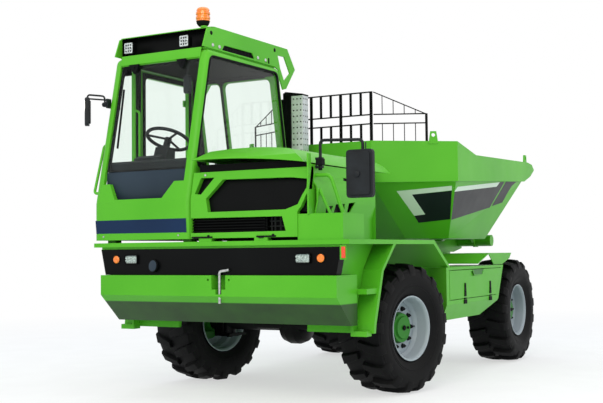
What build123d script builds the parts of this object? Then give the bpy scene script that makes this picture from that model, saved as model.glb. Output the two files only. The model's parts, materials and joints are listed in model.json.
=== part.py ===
from build123d import *
import os
from math import cos, radians, sin

# Site dumper with a swivelling, tipping skip. Millimetres.
# X is across the machine, Y along it (the skip pours towards +Y, the cab looks towards -Y), Z is up from the floor.
# The origin is on the floor at the middle of the machine's box.

# Wheels and axles
WHEELBASE = 2760
MID_Y = 327                      # middle of the wheelbase
AXLE_Y = {"cab": MID_Y - WHEELBASE / 2, "skip": MID_Y + WHEELBASE / 2}
TYRE_R = 540
TYRE_HALF_WIDTH = 215
KINGPIN_X = 720
KINGPIN_OFFSET = 251             # kingpin to the tyre's middle plane
AXLE_Z = TYRE_R
RIM_R = 270
REST_STEER = {"cab": -11.1, "skip": 0.0}   # degrees about +Z as parked
SPINDLE_R = 50
RUNNING = 0.05                   # radial clearance of a running fit

# Frame
HALF_WIDTH = 1200
RAIL_X = (290, 400)
RAIL_Z = (640, 860)
SLEW_Y = 1427
SLEW_R = 455
RING_TOP = 1126
TABLE_Z = (1132, 1165)

# Skip
SKIP_FLOOR = 1300
SKIP_WALL = 12
TIP_Y = 1927                     # tipping pivot
TIP_Z = 1285
TIP_R = 62
RAM_BASE = (1027, 1215)          # y, z of the ram's lower pin
RAM_EYE = (1727, 1440)           # y, z of the ram's upper pin
RAM_R = 44

# Cab
CAB_FLOOR = 1298
CAB_WALL = 40

nodes = {}

PLACE = {
    "x": lambda a, b, c: (c, a, b),
    "y": lambda a, b, c: (a, c, b),
    "z": lambda a, b, c: (a, b, c),
}


def prism(axis, points, low, high):
    """Outline in the plane across the axis, carried from low to high along it."""
    place = PLACE[axis]
    outline = Wire.make_polygon([place(a, b, low) for a, b in points], close=True)
    return extrude(Face(outline), high - low, dir=place(0, 0, 1))


def block(x, y, z):
    """Box between pairs of limits."""
    centre = [(low + high) / 2 for low, high in (x, y, z)]
    return Pos(*centre) * Box(x[1] - x[0], y[1] - y[0], z[1] - z[0])


def rod(start, end, radius):
    start, end = Vector(*start), Vector(*end)
    return Solid.make_cylinder(radius, (end - start).length, Plane(start, z_dir=end - start))


def bent_bar(points, radius, bend):
    """Round bar along straight runs joined by arcs."""
    path = FilletPolyline(*points, radius=bend)
    return sweep(Plane(origin=path @ 0, z_dir=path % 0) * Circle(radius), path=path)


def turned(profile):
    """Solid of revolution about X from (x, radius) points."""
    return revolve(Face(Wire.make_polygon([(x, 0, r) for x, r in profile], close=True)), Axis.X)


def both(shape):
    """The shape and its mirror image on the other side."""
    return shape + mirror(shape, about=Plane.YZ)


def joined(shapes):
    total = shapes[0]
    for shape in shapes[1:]:
        total += shape
    return total


def storeys(rows):
    """Straight-sided body through level rectangles: z, x low, x high, y low, y high."""
    faces = []
    for z, x0, x1, y0, y1 in rows:
        corners = [(x0, y0, z), (x1, y0, z), (x1, y1, z), (x0, y1, z)]
        faces.append(Face(Wire.make_polygon(corners, close=True)))
    return loft(faces, ruled=True)


# ---------------------------------------------------------------- wheels

def tyre():
    half = [(162, 259), (166, 276), (202, 335), (TYRE_HALF_WIDTH, 400), (213, 450), (200, 500), (172, 526), (90, TYRE_R)]
    return turned(half + [(-x, r) for x, r in reversed(half)])


def rim():
    # outer line of the barrel from the inner lip to the outer lip, 9 mm thick
    line = [(-183, RIM_R), (-170, 257), (-90, 255), (-70, 238), (40, 238), (72, 254), (160, 257), (172, 262), (183, RIM_R)]
    barrel = turned(line + [(x, r - 9) for x, r in reversed(line)])
    disc = turned([(36, 131), (36, 190), (20, 230), (34, 230), (48, 190), (48, 131)])
    return barrel + disc


def hub():
    body = turned([(-60, 0), (-60, 95), (20, 100), (20, 165), (36, 165), (36, 125), (84, 120), (84, 96), (100, 88), (100, 0)])
    return body - rod((-61, 0, 0), (30, 0, 0), SPINDLE_R + RUNNING)


def knuckle():
    back = block((80, 105), (-90, 90), (-125, 125))
    arms = block((-55, 80), (-58, 58), (100, 125))
    arms += block((-55, 80), (-58, 58), (-125, -100))
    stub = turned([(105, 0), (105, 85), (186, 70), (186, SPINDLE_R), (276, SPINDLE_R), (276, 0)])
    pin = rod((0, 0, -135), (0, 0, 135), 25)
    lever = prism("z", [(-20, 50), (50, 50), (20, 200), (-20, 200)], -125, -104)
    return joined([back, arms, stub, pin, lever])


def axle(y):
    beam = rod((-KINGPIN_X, 0, 0), (KINGPIN_X, 0, 0), 60)
    housing = turned([(-130, 60), (-100, 150), (-40, 172), (40, 172), (100, 150), (130, 60)])
    bore = rod((KINGPIN_X, 0, -200), (KINGPIN_X, 0, 200), 25 + RUNNING)
    boss = rod((KINGPIN_X, 0, -94), (KINGPIN_X, 0, 94), 56)
    pad = block((RAIL_X[0], RAIL_X[1]), (-75, 75), (40, RAIL_Z[0] - AXLE_Z))
    cylinder = rod((-330, -125, 0), (330, -125, 0), 38) + block((-60, 60), (-140, -60), (-36, 36))
    solid = beam + housing + both(boss) + both(pad) + cylinder
    solid -= both(bore)
    return Pos(0, y, AXLE_Z) * solid


def wheel_sets():
    """One knuckle and wheel at each corner, mirrored on the left and turned to their parked steer."""
    for end in ("cab", "skip"):
        nodes[f"axle_{end}_end"] = axle(AXLE_Y[end])
        for side, sign in (("right", 1), ("left", -1)):
            place = Pos(sign * KINGPIN_X, AXLE_Y[end], AXLE_Z) * Rot(0, 0, REST_STEER[end])
            pieces = {
                "knuckle": knuckle(),
                "hub": Pos(KINGPIN_OFFSET, 0, 0) * hub(),
                "rim": Pos(KINGPIN_OFFSET, 0, 0) * rim(),
                "tyre": Pos(KINGPIN_OFFSET, 0, 0) * tyre(),
            }
            for name, shape in pieces.items():
                if sign < 0:
                    shape = mirror(shape, about=Plane.YZ)
                nodes[f"{name}_{end}_{side}"] = place * shape


# ---------------------------------------------------------------- chassis

FRONT_Y = -2410                  # face of the ballast
TOW_PIN_X, TOW_PIN_Y = 70, FRONT_Y + 20
ARCH_FRONT = -1939               # front foot of the wheel arch


def chassis_frame():
    rails = both(block(RAIL_X, (-2073, 1960), RAIL_Z))
    total = rails
    for y0, y1 in ((-2073, -1953), (-520, -430), (560, 650), (1880, 1960)):
        total += block((-RAIL_X[0], RAIL_X[0]), (y0, y1), (660, 840))
    total += block((-610, 610), (-2073, -1953), (RAIL_Z[0], 1240))
    total += both(block(RAIL_X, (-640, -560), (RAIL_Z[1], 1240)))
    for y in (-250, 420):
        total += both(block((RAIL_X[1], 700), (y, y + 80), (660, 820)))
    total += rod((0, SLEW_Y, RAIL_Z[1] - 20), (0, SLEW_Y, 1090), 425)
    return total


def slew_ring():
    ring = rod((0, SLEW_Y, 1090), (0, SLEW_Y, RING_TOP), SLEW_R)
    return ring - rod((0, SLEW_Y, 1080), (0, SLEW_Y, 1140), 380)


def ballast():
    outline = [(FRONT_Y, 1010), (FRONT_Y, 847), (-2173, 627), (-2073, 627), (-2073, 1010)]
    body = prism("x", outline, -1106, 1106)
    body -= block((5, 135), (FRONT_Y - 1, FRONT_Y + 110), (900, 1011))
    body -= block((42, 98), (FRONT_Y - 1, FRONT_Y + 60), (862, 901))
    body -= rod((TOW_PIN_X, TOW_PIN_Y, 780), (TOW_PIN_X, TOW_PIN_Y, 910), 12.3)
    for x in (-28, 168):
        body -= rod((x, FRONT_Y - 1, 975), (x, FRONT_Y + 40, 975), 9)
    return body


def tow_pin():
    path = [(TOW_PIN_X, TOW_PIN_Y, 790), (TOW_PIN_X, TOW_PIN_Y, 1040), (TOW_PIN_X + 90, TOW_PIN_Y, 1052)]
    return bent_bar(path, 12, 22)


def lamp_panel():
    plate = prism("y", [(-1085, 1012), (1085, 1012), (1130, 1222), (-1130, 1222)], FRONT_Y + 37, FRONT_Y + 120)
    return plate


def deck():
    """Platform over the cab-end wheels with its arches and the steps in front of them."""
    top = block((-HALF_WIDTH, HALF_WIDTH), (-2383, -743), (1240, 1275))
    beam = block((-1130, 1130), (-2363, -2300), (1222, 1240))
    tail = prism("x", [(-743, 1275), (-393, 1046), (-393, 1032), (-430, 1032), (-760, 1240)], 560, HALF_WIDTH)
    liner = prism("x", [(-1553, 1240), (-1793, 1030), (ARCH_FRONT, 623), (-1951, 560), (-1985, 560), (-1975, 640),
                        (-1825, 1040), (-1600, 1240)], 620, HALF_WIDTH)
    core = prism("x", [(-2280, 1240), (-2280, 1012), (-2060, 1012), (-2060, 640), (-1980, 640), (-1825, 1050),
                       (-1640, 1240)], 620, 1040)
    tread = block((1040, 1185), (-2070, -1850), (860, 900)) + block((1040, 1175), (-2060, -1975), (540, 580))
    tread += block((1040, 1060), (-2060, -1970), (540, 660))
    side = both(joined([tail, liner, core, tread]))
    mounts = [block((x, x + 80), (y, y + 80), (1275, CAB_FLOOR)) for x in (-1120, -340) for y in (-2300, -760)]
    return joined([top, beam, side] + mounts)


def skip_end_fenders():
    outline = [(437, 1060), (747, 1150), (1462, 1150), (1462, 1142), (750, 1142), (440, 1050)]
    plate = prism("x", outline, 640, 1170)
    lip = prism("x", [(747, 1150), (1462, 1150), (1400, 1095), (1157, 1036), (900, 1036)], 1162, 1170)
    stay = block((400, 660), (640, 720), (1080, 1142)) + block((400, 440), (640, 720), (820, 1100))
    return both(plate + lip + stay)


BOX_OUTLINE = [(-473, 555), (537, 555), (917, 680), (1097, 1030), (-483, 1030)]


def side_box_shell():
    """Box between the wheels: outline from the side, its front end slanted clear of the steered tyre."""
    body = prism("x", BOX_OUTLINE, 700, HALF_WIDTH)
    body -= prism("z", [(700, -500), (700, -300), (900, -333), (1201, -476), (1201, -500)], 500, 1100)
    skirt = prism("y", [(1201, 540), (1201, 700), (1130, 540)], -600, 1200)
    return body - skirt


DOOR = ((-400, 860), (740, 1000))   # y and z limits of the toolbox door


def toolbox():
    body = side_box_shell()
    body -= block((720, HALF_WIDTH - 20), (-290, 800), (720, 1010))
    opening = prism("x", [(DOOR[0][0] - 6, DOOR[1][0] - 6), (DOOR[0][1] + 6, DOOR[1][0] - 6),
                          (1030, DOOR[1][1] + 6), (DOOR[0][0] - 6, DOOR[1][1] + 6)], HALF_WIDTH - 21, HALF_WIDTH + 1)
    return body - opening


def toolbox_door():
    outline = [(DOOR[0][0], DOOR[1][0]), (DOOR[0][1], DOOR[1][0]), (1020, DOOR[1][1]), (DOOR[0][0], DOOR[1][1])]
    leaf = prism("x", outline, HALF_WIDTH - 16, HALF_WIDTH + 2)
    leaf -= block((HALF_WIDTH - 8, HALF_WIDTH + 3), (140, 300), (940, 985))
    return leaf


def side_tank():
    return mirror(side_box_shell(), about=Plane.YZ)


def engine():
    return block((-150, 640), (-1950, -900), (1275, 1760))


# ---------------------------------------------------------------- cowl and bonnet

COWL_X = (-208, 806)
COWL_FRONT = -2273
COWL_REAR = -573
LID_HINGE = (-823, 1990)         # y, z


def cowl():
    """Fixed engine housing: front bulkhead with its openings, right flank, rear bulkhead."""
    front = block(COWL_X, (COWL_FRONT, COWL_FRONT + 30), (1275, 1850))
    front -= prism("y", [(-135, 1626), (11, 1768), (783, 1742), (783, 1670), (722, 1558), (553, 1502), (-126, 1509)],
                   COWL_FRONT - 1, COWL_FRONT + 31)
    front -= block((-190, 670), (COWL_FRONT - 1, COWL_FRONT + 31), (1345, 1470))
    front += block((776, COWL_X[1]), (COWL_FRONT, COWL_FRONT + 30), (1850, 1965))
    flank = prism("z", [(776, COWL_FRONT + 5), (806, COWL_FRONT + 5), (806, -2190), (860, -1900), (860, -1173),
                        (560, -603), (530, -603), (830, -1180), (830, -1895), (776, -2190)], 1275, 1850)
    rear = block((COWL_X[0], 560), (COWL_REAR - 30, COWL_REAR), (1275, 1990))
    shelf = prism("z", [(COWL_X[0], -800), (780, -800), (700, -770), (560, -600), (COWL_X[0], -600)], 1960, 1990)
    return joined([front, flank, rear, shelf])


def grille():
    plate = block((-150, 775), (COWL_FRONT + 30, COWL_FRONT + 40), (1490, 1780))
    lower = block((-195, 675), (COWL_FRONT + 30, COWL_FRONT + 40), (1335, 1480))
    return plate + lower


def bonnet():
    """Lid over the engine, hollow underneath, hinged along its rear edge."""
    outer = prism("y", [(-200, 1930), (-175, 2020), (200, 2060), (600, 2030), (720, 1955), (766, 1875), (742, 1868),
                        (700, 1925)], COWL_FRONT - 20, LID_HINGE[0] - 10)
    inner = prism("y", [(-188, 1900), (-164, 2008), (200, 2047), (596, 2018), (708, 1946), (752, 1850)],
                  COWL_FRONT, LID_HINGE[0] - 22)
    return outer - inner


def step_box():
    return block((764, 1147), (-2373, -2278), (1275, 1471)) + block((866, 1147), (-2278, -2023), (1275, 1471))


def front_hoops():
    y = COWL_FRONT + 12
    outer = bent_bar([(806, y, 1765), (990, y, 1765), (1096, y, 1460)], 15, 60)
    inner = bent_bar([(806, y, 1668), (893, y, 1668), (989, y, 1460)], 12, 40)
    return outer + inner - step_box()


# ---------------------------------------------------------------- exhaust

def exhaust():
    box = block((-225, -60), (-640, -590), (2040, 2690)) + block((-180, -60), (-760, -640), (1990, 2100))
    return box


def exhaust_guard():
    outer = block((-225, -50), (-745, -640), (2100, 2635))
    inner = block((-219, -56), (-739, -630), (2090, 2629))
    return outer - inner


# ---------------------------------------------------------------- cab

# z, x low, x high, y low, y high of the outer skin
CAB_LEVELS = [
    (CAB_FLOOR, -1190, -220, -2393, -560),
    (1606, -1190, -220, -2393, -560),
    (1872, -1182, -232, -2273, -580),
    (2880, -1130, -298, -2063, -730),
]


def cab_body(inset):
    rows = []
    for z, x0, x1, y0, y1 in CAB_LEVELS:
        rows.append((z, x0 + inset, x1 - inset, y0 + inset, y1 - inset))
    return storeys(rows)


WINDSCREEN = [(-1000, 1640), (-500, 1640), (-390, 1800), (-375, 2800), (-1065, 2800), (-1110, 1800)]
SIDE_GLASS = [(-2180, 1960), (-2020, 2800), (-1180, 2800), (-1080, 2700), (-720, 1960)]
REAR_GLASS = [(-1080, 1850), (-330, 1850), (-370, 2780), (-1060, 2780)]
DOOR_OUTLINE = [(-2150, 1345), (-2150, 1900), (-1960, 2830), (-1250, 2830), (-1120, 2700), (-1000, 1345)]
DOOR_GLASS = [(-2080, 1640), (-2080, 1890), (-1905, 2770), (-1290, 2770), (-1190, 2680), (-1100, 1640)]


def grown(points, gap):
    """Outline moved outwards by the gap, or inwards where it is negative."""
    face = Face(Wire.make_polygon([(a, b, 0) for a, b in points], close=True))
    edges = offset(face, amount=gap, kind=Kind.INTERSECTION).wires()[0].order_edges()
    return [((edge @ 0).X, (edge @ 0).Y) for edge in edges]


def cab_shell():
    shell = cab_body(0) - (cab_body(CAB_WALL) & block((-2000, 2000), (-3000, 3000), (CAB_FLOOR + CAB_WALL, 2845)))
    shell -= prism("y", WINDSCREEN, -2500, -2000)
    shell -= prism("x", SIDE_GLASS, -360, -150)
    shell -= prism("y", REAR_GLASS, -800, -500)
    shell -= prism("x", grown(DOOR_OUTLINE, 6), -1300, -1000)
    return shell


def cab_glass():
    pane = cab_body(12) - cab_body(18)
    front = pane & prism("y", grown(WINDSCREEN, -2), -2500, -2000)
    side = pane & prism("x", grown(SIDE_GLASS, -2), -360, -150)
    rear = pane & prism("y", grown(REAR_GLASS, -2), -800, -500)
    return joined([front, side, rear])


def cab_door():
    leaf = (cab_body(0) - cab_body(CAB_WALL)) & prism("x", DOOR_OUTLINE, -1300, -1050)
    return leaf - prism("x", DOOR_GLASS, -1300, -1000)


def door_glass():
    return (cab_body(12) - cab_body(18)) & prism("x", grown(DOOR_GLASS, -2), -1300, -1000)


def cab_roof():
    """Roof pan, its two side plates with their vents, and the visor over the work lamps."""
    pan = block((-1130, -298), (-2050, -760), (2882, 2940))
    side = prism("x", [(-2080, 2882), (-2020, 3040), (-1990, 3080), (-740, 3070), (-590, 2900), (-760, 2700),
                       (-790, 2882)], -262, -250)
    side -= prism("x", [(-730, 2960), (-690, 2960), (-620, 2900), (-735, 2790), (-760, 2880)], -270, -240)
    side -= prism("x", [(-1720, 2990), (-1300, 2990), (-1240, 2930), (-1680, 2930)], -270, -240)
    side += block((-298, -262), (-2000, -800), (2890, 2930))
    left = mirror(side, about=Plane.YZ.offset(-714))
    visor = block((-1178, -250), (-2040, -760), (3060, 3070))
    back = block((-1130, -298), (-1800, -1780), (2940, 3060))
    return joined([pan, side, left, visor, back])


def work_lamps():
    lamps = [block((x - 55, x + 55), (-2060, -1985), (2955, 3045)) + block((x - 10, x + 10), (-2030, -2000), (2940, 2956))
             for x in (-1040, -400)]
    return joined(lamps)


def beacon():
    x, y = -430, -1870
    stem = rod((x, y, 3070), (x, y, 3120), 22)
    dome = rod((x, y, 3120), (x, y, 3290), 62)
    return stem + fillet(dome.edges().group_by(Axis.Z)[-1], 35)


def seat():
    pad = block((-910, -450), (-1560, -1080), (1760, 1880))
    back = prism("x", [(-1180, 1880), (-1080, 1880), (-960, 2480), (-1050, 2480)], -900, -460)
    base = block((-860, -500), (-1500, -1120), (CAB_FLOOR + CAB_WALL, 1760))
    return joined([base, pad, back])


def console():
    column = prism("x", [(-2190, 1338), (-2000, 1338), (-1960, 1900), (-1947, 2053), (-2037, 2095), (-2110, 1900)],
                   -815, -675)
    dash = prism("x", [(-2225, 1780), (-2120, 1780), (-2120, 1900), (-2215, 1900)], -1080, -380)
    return column + dash


def steering_wheel():
    tilt = Pos(-745, -1950, 2165) * Rot(-25, 0, 0)
    ring = Solid.make_torus(185, 15)
    total = ring + rod((0, 0, -100), (0, 0, 8), 30)
    for angle in (90, 210, 330):
        total += rod((0, 0, 0), (183 * cos(radians(angle)), 183 * sin(radians(angle)), 0), 10)
    return tilt * total


def mirrors():
    head = block((1150, 1370), (-2340, -2280), (1576, 1935))
    head = fillet(head.edges().filter_by(Axis.Y), 30)
    y = COWL_FRONT + 15
    foot = block((COWL_X[1], COWL_X[1] + 34), (y - 14, y + 14), (1856, 1940))
    arm = bent_bar([(823, y, 1930), (823, y, 2028), (1260, y, 2010), (1260, y, 1765), (1260, y - 25, 1745)], 12, 20)
    return joined([head, foot, arm])


def left_mirror():
    head = block((-1370, -1200), (-2405, -2350), (2250, 2560))
    head = fillet(head.edges().filter_by(Axis.Y), 30)
    arm = bent_bar([(-1151.4, -2120, 2480), (-1205, -2120, 2480), (-1222, -2160, 2600), (-1285, -2320, 2600),
                    (-1285, -2320, 2410), (-1285, -2360, 2400)], 12, 18)
    return head + arm


def lamps():
    total = []
    for x in (-810, 810):
        total.append(block((x - 92, x + 92), (FRONT_Y + 22, FRONT_Y + 37), (1080, 1173)))
    for x in (-962, 962):
        total.append(rod((x, FRONT_Y + 18, 1128), (x, FRONT_Y + 37, 1128), 33))
    return joined(total)


def cab_rail():
    return bent_bar([(-1169.9, -2195, 2120), (-1245, -2195, 2120), (-1250, -2320, 1700), (-1187.7, -2320, 1700)], 12, 28)


# ---------------------------------------------------------------- swivel frame and skip

def swivel_frame():
    table = rod((0, SLEW_Y, TABLE_Z[0]), (0, SLEW_Y, TABLE_Z[1]), 470)
    spigot = rod((0, SLEW_Y, 1096), (0, SLEW_Y, TABLE_Z[0]), 379.5)
    arm = prism("x", [(1077, 1164), (1177, 1285), (1477, 1285), (1827, 1366), (2007, 1366), (2027, 1205), (1777, 1164)],
                380, 410)
    tube = rod((-800, TIP_Y, TIP_Z), (800, TIP_Y, TIP_Z), TIP_R)
    ear = prism("x", [(957, 1164), (977, 1262), (1077, 1262), (1127, 1164)], 52, 66)
    pin = rod((-66, *RAM_BASE), (66, *RAM_BASE), 18)
    plate = block((-120, 120), (950, 1100), (1140, 1165))
    return joined([table, spigot, both(arm), tube, both(ear), plate, pin])


def ram_direction():
    return Vector(0, RAM_EYE[0] - RAM_BASE[0], RAM_EYE[1] - RAM_BASE[1]).normalized()


def ram_point(distance):
    base = Vector(0, *RAM_BASE)
    return tuple(base + ram_direction() * distance)


def ram_barrel():
    eye = rod((-46, *RAM_BASE), (46, *RAM_BASE), 36)
    body = rod(ram_point(30), ram_point(610), RAM_R)
    body -= rod(ram_point(60), ram_point(620), 25 + RUNNING)
    return (eye + body) - rod((-60, *RAM_BASE), (60, *RAM_BASE), 18 + RUNNING)


def ram_rod():
    shaft = rod(ram_point(80), ram_point(710), 25)
    eye = rod((-24, *RAM_EYE), (24, *RAM_EYE), 36)
    return shaft + eye


# corners of the skip's right half, from the rear round to the front: x, y
FLOOR_PLAN = [(500, 237), (875, 427), (875, 1487)]
CHINE = [(455, -431, 1820), (1160, -90, 1820), (1118, 2030, 1930)]
RIM_PLAN = [(475, -461), (1190, -113), (1150, 2410)]
BAND_SIDE = [(-470, 1820), (-113, 1820), (2020, 1930), (2262, 2000), (2410, 2079), (2330, 2135), (2170, 2150),
             (407, 2100), (-113, 2190), (-470, 2210)]


def ring_of(points):
    """Closed outline from the right-hand half and its mirror image."""
    left = [(-p[0],) + tuple(p[1:]) for p in reversed(points)]
    return [tuple(p) for p in points] + left


def skip_outer():
    lower = hull_between(ring_of([(x, y, SKIP_FLOOR) for x, y in FLOOR_PLAN]), ring_of(CHINE))
    band = prism("z", ring_of(RIM_PLAN), 1700, 2400) & prism("x", BAND_SIDE, -1300, 1300)
    return lower + band


def hull_between(bottom, top):
    """Body between two outlines with the same number of corners, its sides split into triangles."""
    faces = [face_of(bottom)]
    count = len(bottom)
    for i in range(count):
        j = (i + 1) % count
        faces.append(face_of([bottom[i], bottom[j], top[j]]))
        faces.append(face_of([bottom[i], top[j], top[i]]))
    centre = tuple(sum(p[k] for p in top) / count for k in range(3))
    for i in range(count):
        j = (i + 1) % count
        faces.append(face_of([top[i], top[j], centre]))
    return Solid(Shell(faces))


def face_of(points):
    return Face(Wire.make_polygon(points, close=True))


def inset(points, distance):
    """Outline of x, y or x, y, z corners moved inwards in plan."""
    flat = Face(Wire.make_polygon([(p[0], p[1], 0) for p in points], close=True))
    small = offset(flat, amount=-distance, kind=Kind.INTERSECTION)
    corners = [edge @ 0 for edge in small.wires()[0].order_edges()]
    moved = []
    for p in points:
        near = min(corners, key=lambda c: (c.X - p[0]) ** 2 + (c.Y - p[1]) ** 2)
        moved.append((near.X, near.Y) + tuple(p[2:]))
    return moved


def skip():
    wall = SKIP_WALL
    floor_in = [(x, y, SKIP_FLOOR + wall) for x, y in inset(ring_of(FLOOR_PLAN), wall)]
    chine_in = inset(ring_of(CHINE), wall + 4)
    lift = 14
    chine_in = [(x, y, z + (lift if y > 0 else 4)) for x, y, z in chine_in]
    body = skip_outer()
    body -= hull_between(floor_in, chine_in)
    # open top: straight up from the chine, and out over the pouring lip
    plan = [(x, y) for x, y, z in chine_in]
    front = max(y for x, y in plan)
    plan = [(x, y if y < front - 1 else 2600) for x, y in plan]
    side = [(-500, 1816), (-113, 1816), (front - 60, 1930), (front, 1944), (2262, 2014), (2600, 2194), (2600, 2500),
            (-500, 2500)]
    body -= prism("z", plan, 1700, 2500) & prism("x", side, -1300, 1300)
    # tunnel for the tipping ram under the load floor
    tunnel = [(917, SKIP_FLOOR), (927, 1310), (1752, 1575), (1767, 1600), (1767, SKIP_FLOOR - 10), (917, SKIP_FLOOR - 10)]
    roof = [(900, SKIP_FLOOR + 1), (900, 1318), (1740, 1590), (1800, 1640), (1760, SKIP_FLOOR + 1)]
    body += prism("x", roof, -107, 107) & skip_outer()
    body -= prism("x", tunnel, -95, 95)
    # tipping lugs round the pivot tube
    lug = prism("x", [(1600, 1425), (TIP_Y - 86, TIP_Z - 20), (TIP_Y - 50, TIP_Z - 70), (TIP_Y + 50, TIP_Z - 70),
                      (TIP_Y + 86, TIP_Z - 20), (2010, 1890), (1960, 1860)], 600, 625)
    body += both(lug) - rod((-700, TIP_Y, TIP_Z), (700, TIP_Y, TIP_Z), TIP_R + RUNNING)
    # clevis for the ram's rod
    ear = prism("x", [(RAM_EYE[0] - 40, RAM_EYE[1] - 40), (RAM_EYE[0] + 45, RAM_EYE[1] - 40), (RAM_EYE[0] + 45, 1560),
                      (RAM_EYE[0] - 40, 1560)], 32, 46)
    body += both(ear)
    # lifting lugs
    for x, y, z, turn in ((990, -208, 2200, 26), (1144, 2090, 2140, 90)):
        eye = Pos(x, y, z) * Rot(0, 0, turn) * (prism("y", [(-45, -30), (45, -30), (28, 86), (-28, 86)], -9, 9)
                                                - rod((0, -10, 52), (0, 10, 52), 17))
        body += both(eye)
    return body


# load guard standing on the skip's rear rim
GUARD_Y = -453
GUARD_HALF_WIDTH = 475
GUARD_BARS = 10                  # every third one is a full-height post
GUARD_FOOT_Z = 2210
GUARD_RAILS_Z = (2367, 2453, 2664)
WING_END = (932, -225)           # x, y of the wing's outer post
WING_TOP_Z = 2449
WING_WIRES = 5


def guard_panel():
    low, high, top = GUARD_RAILS_Z
    bars = [block((-GUARD_HALF_WIDTH, GUARD_HALF_WIDTH), (GUARD_Y - 6, GUARD_Y + 6), (z - 6, z + 6))
            for z in GUARD_RAILS_Z]
    for i in range(GUARD_BARS):
        x = -GUARD_HALF_WIDTH + 2 * GUARD_HALF_WIDTH * i / (GUARD_BARS - 1)
        if i % 3 == 0:
            bars.append(block((x - 15, x + 15), (GUARD_Y - 3, GUARD_Y + 3), (GUARD_FOOT_Z, top + 6)))
        else:
            bars.append(block((x - 12, x + 12), (GUARD_Y - 3, GUARD_Y + 3), (GUARD_FOOT_Z, low)))
            bars.append(block((x - 12, x + 12), (GUARD_Y - 3, GUARD_Y + 3), (high, top)))
    return joined(bars)


def guard_wing():
    """Side frame of the guard: it stands on the rim beside the rear panel's corner post."""
    low, high, top = GUARD_RAILS_Z
    start_x = GUARD_HALF_WIDTH + 19
    run = WING_END[0] - start_x
    slope = (WING_END[1] - GUARD_Y) / (WING_END[0] - GUARD_HALF_WIDTH)

    def wing_y(x):
        return GUARD_Y + slope * (x - GUARD_HALF_WIDTH)

    def foot_z(y):
        return GUARD_FOOT_Z - 20 * (y - GUARD_Y) / 357

    bars = []
    for z_start, z_end, radius in ((low, low, 6), (high, high, 6), (top, WING_TOP_Z, 5)):
        bars.append(rod((start_x, wing_y(start_x), z_start), (WING_END[0], WING_END[1], z_end), radius))
    for i in range(WING_WIRES - 1):
        t = (i + 0.8) / (WING_WIRES - 0.2)
        x = start_x + run * t
        y = wing_y(x)
        bars.append(rod((x, y, foot_z(y)), (x, y, low), 4))
        bars.append(rod((x, y, high), (x, y, top + (WING_TOP_Z - top) * t), 4))
    post = Pos(*WING_END, 0) * Rot(0, 0, 26.5) * block((-12, 12), (-3, 3), (foot_z(WING_END[1]), WING_TOP_Z + 6))
    return joined(bars + [post])


def skip_guard():
    return guard_panel() + both(guard_wing())


# ---------------------------------------------------------------- build

BUILDERS = [
    chassis_frame, slew_ring, ballast, tow_pin, lamp_panel, deck, skip_end_fenders, toolbox, toolbox_door, side_tank,
    engine, cowl, grille, bonnet, step_box, front_hoops, exhaust, exhaust_guard, cab_shell, cab_glass, cab_door,
    door_glass, cab_roof, work_lamps, beacon, seat, console, steering_wheel, mirrors, left_mirror, lamps, cab_rail,
    swivel_frame, ram_barrel, ram_rod, skip, skip_guard,
]

wheel_sets()
for builder in BUILDERS:
    nodes[builder.__name__] = builder()

os.makedirs("parts", exist_ok=True)
for name, shape in nodes.items():
    export_step(shape, f"parts/{name}.step")
print(len(nodes), "nodes")
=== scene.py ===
# Site dumper: finishes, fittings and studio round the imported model. Pieces are drawn in millimetres, Z up.
import json
import math

import bmesh
import bpy
from mathutils import Matrix, Vector
from mathutils.bvhtree import BVHTree
from mathutils.geometry import tessellate_polygon


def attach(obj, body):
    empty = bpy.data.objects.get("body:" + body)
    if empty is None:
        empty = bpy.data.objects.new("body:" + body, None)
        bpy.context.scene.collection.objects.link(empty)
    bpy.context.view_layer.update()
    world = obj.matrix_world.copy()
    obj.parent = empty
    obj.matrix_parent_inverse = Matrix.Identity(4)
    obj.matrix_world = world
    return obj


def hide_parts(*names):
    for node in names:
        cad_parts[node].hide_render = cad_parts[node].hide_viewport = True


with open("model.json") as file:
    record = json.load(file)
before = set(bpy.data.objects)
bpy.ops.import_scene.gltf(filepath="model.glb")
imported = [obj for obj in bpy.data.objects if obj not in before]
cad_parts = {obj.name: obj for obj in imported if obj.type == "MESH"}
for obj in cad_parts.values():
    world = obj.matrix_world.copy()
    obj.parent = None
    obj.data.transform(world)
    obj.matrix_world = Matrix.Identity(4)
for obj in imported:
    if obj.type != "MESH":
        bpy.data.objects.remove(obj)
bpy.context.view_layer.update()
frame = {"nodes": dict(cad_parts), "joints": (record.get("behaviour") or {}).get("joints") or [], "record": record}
cadNodes = frame["nodes"]
print("frame loaded:", len(cadNodes), "nodes")


def hexToLinear(text):
    channels = [int(text[i:i + 2], 16) / 255 for i in (1, 3, 5)]
    linear = [c / 12.92 if c <= 0.04045 else ((c + 0.055) / 1.055) ** 2.4 for c in channels]
    return (*linear, 1.0)


def addNode(tree, kind, settings=None, links=None):
    node = tree.nodes.new(kind)  # settings: attributes or sockets by name; links: socket to its source
    for key, value in (settings or {}).items():
        if key == "stops":
            ramp = node.color_ramp.elements
            for spare in range(len(value) - len(ramp)):
                ramp.new(0.5)
            for element, (position, colour) in zip(ramp, value):
                element.position = position
                element.color = hexToLinear(colour)
        elif isinstance(key, str) and hasattr(node, key) and key not in node.inputs:
            setattr(node, key, value)
        else:
            node.inputs[key].default_value = value
    for key, socket in (links or {}).items():
        tree.links.new(socket, node.inputs[key])
    return node


def startMaterial(name):
    material = bpy.data.materials.new(name)
    material.use_nodes = True
    tree = material.node_tree
    tree.nodes.clear()
    # metres over the object: scales are real sizes
    place = addNode(tree, "ShaderNodeTexCoord").outputs["Object"]
    return material, tree, place


def closeMaterial(tree, surface):
    addNode(tree, "ShaderNodeOutputMaterial", {}, {"Surface": surface})


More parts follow.
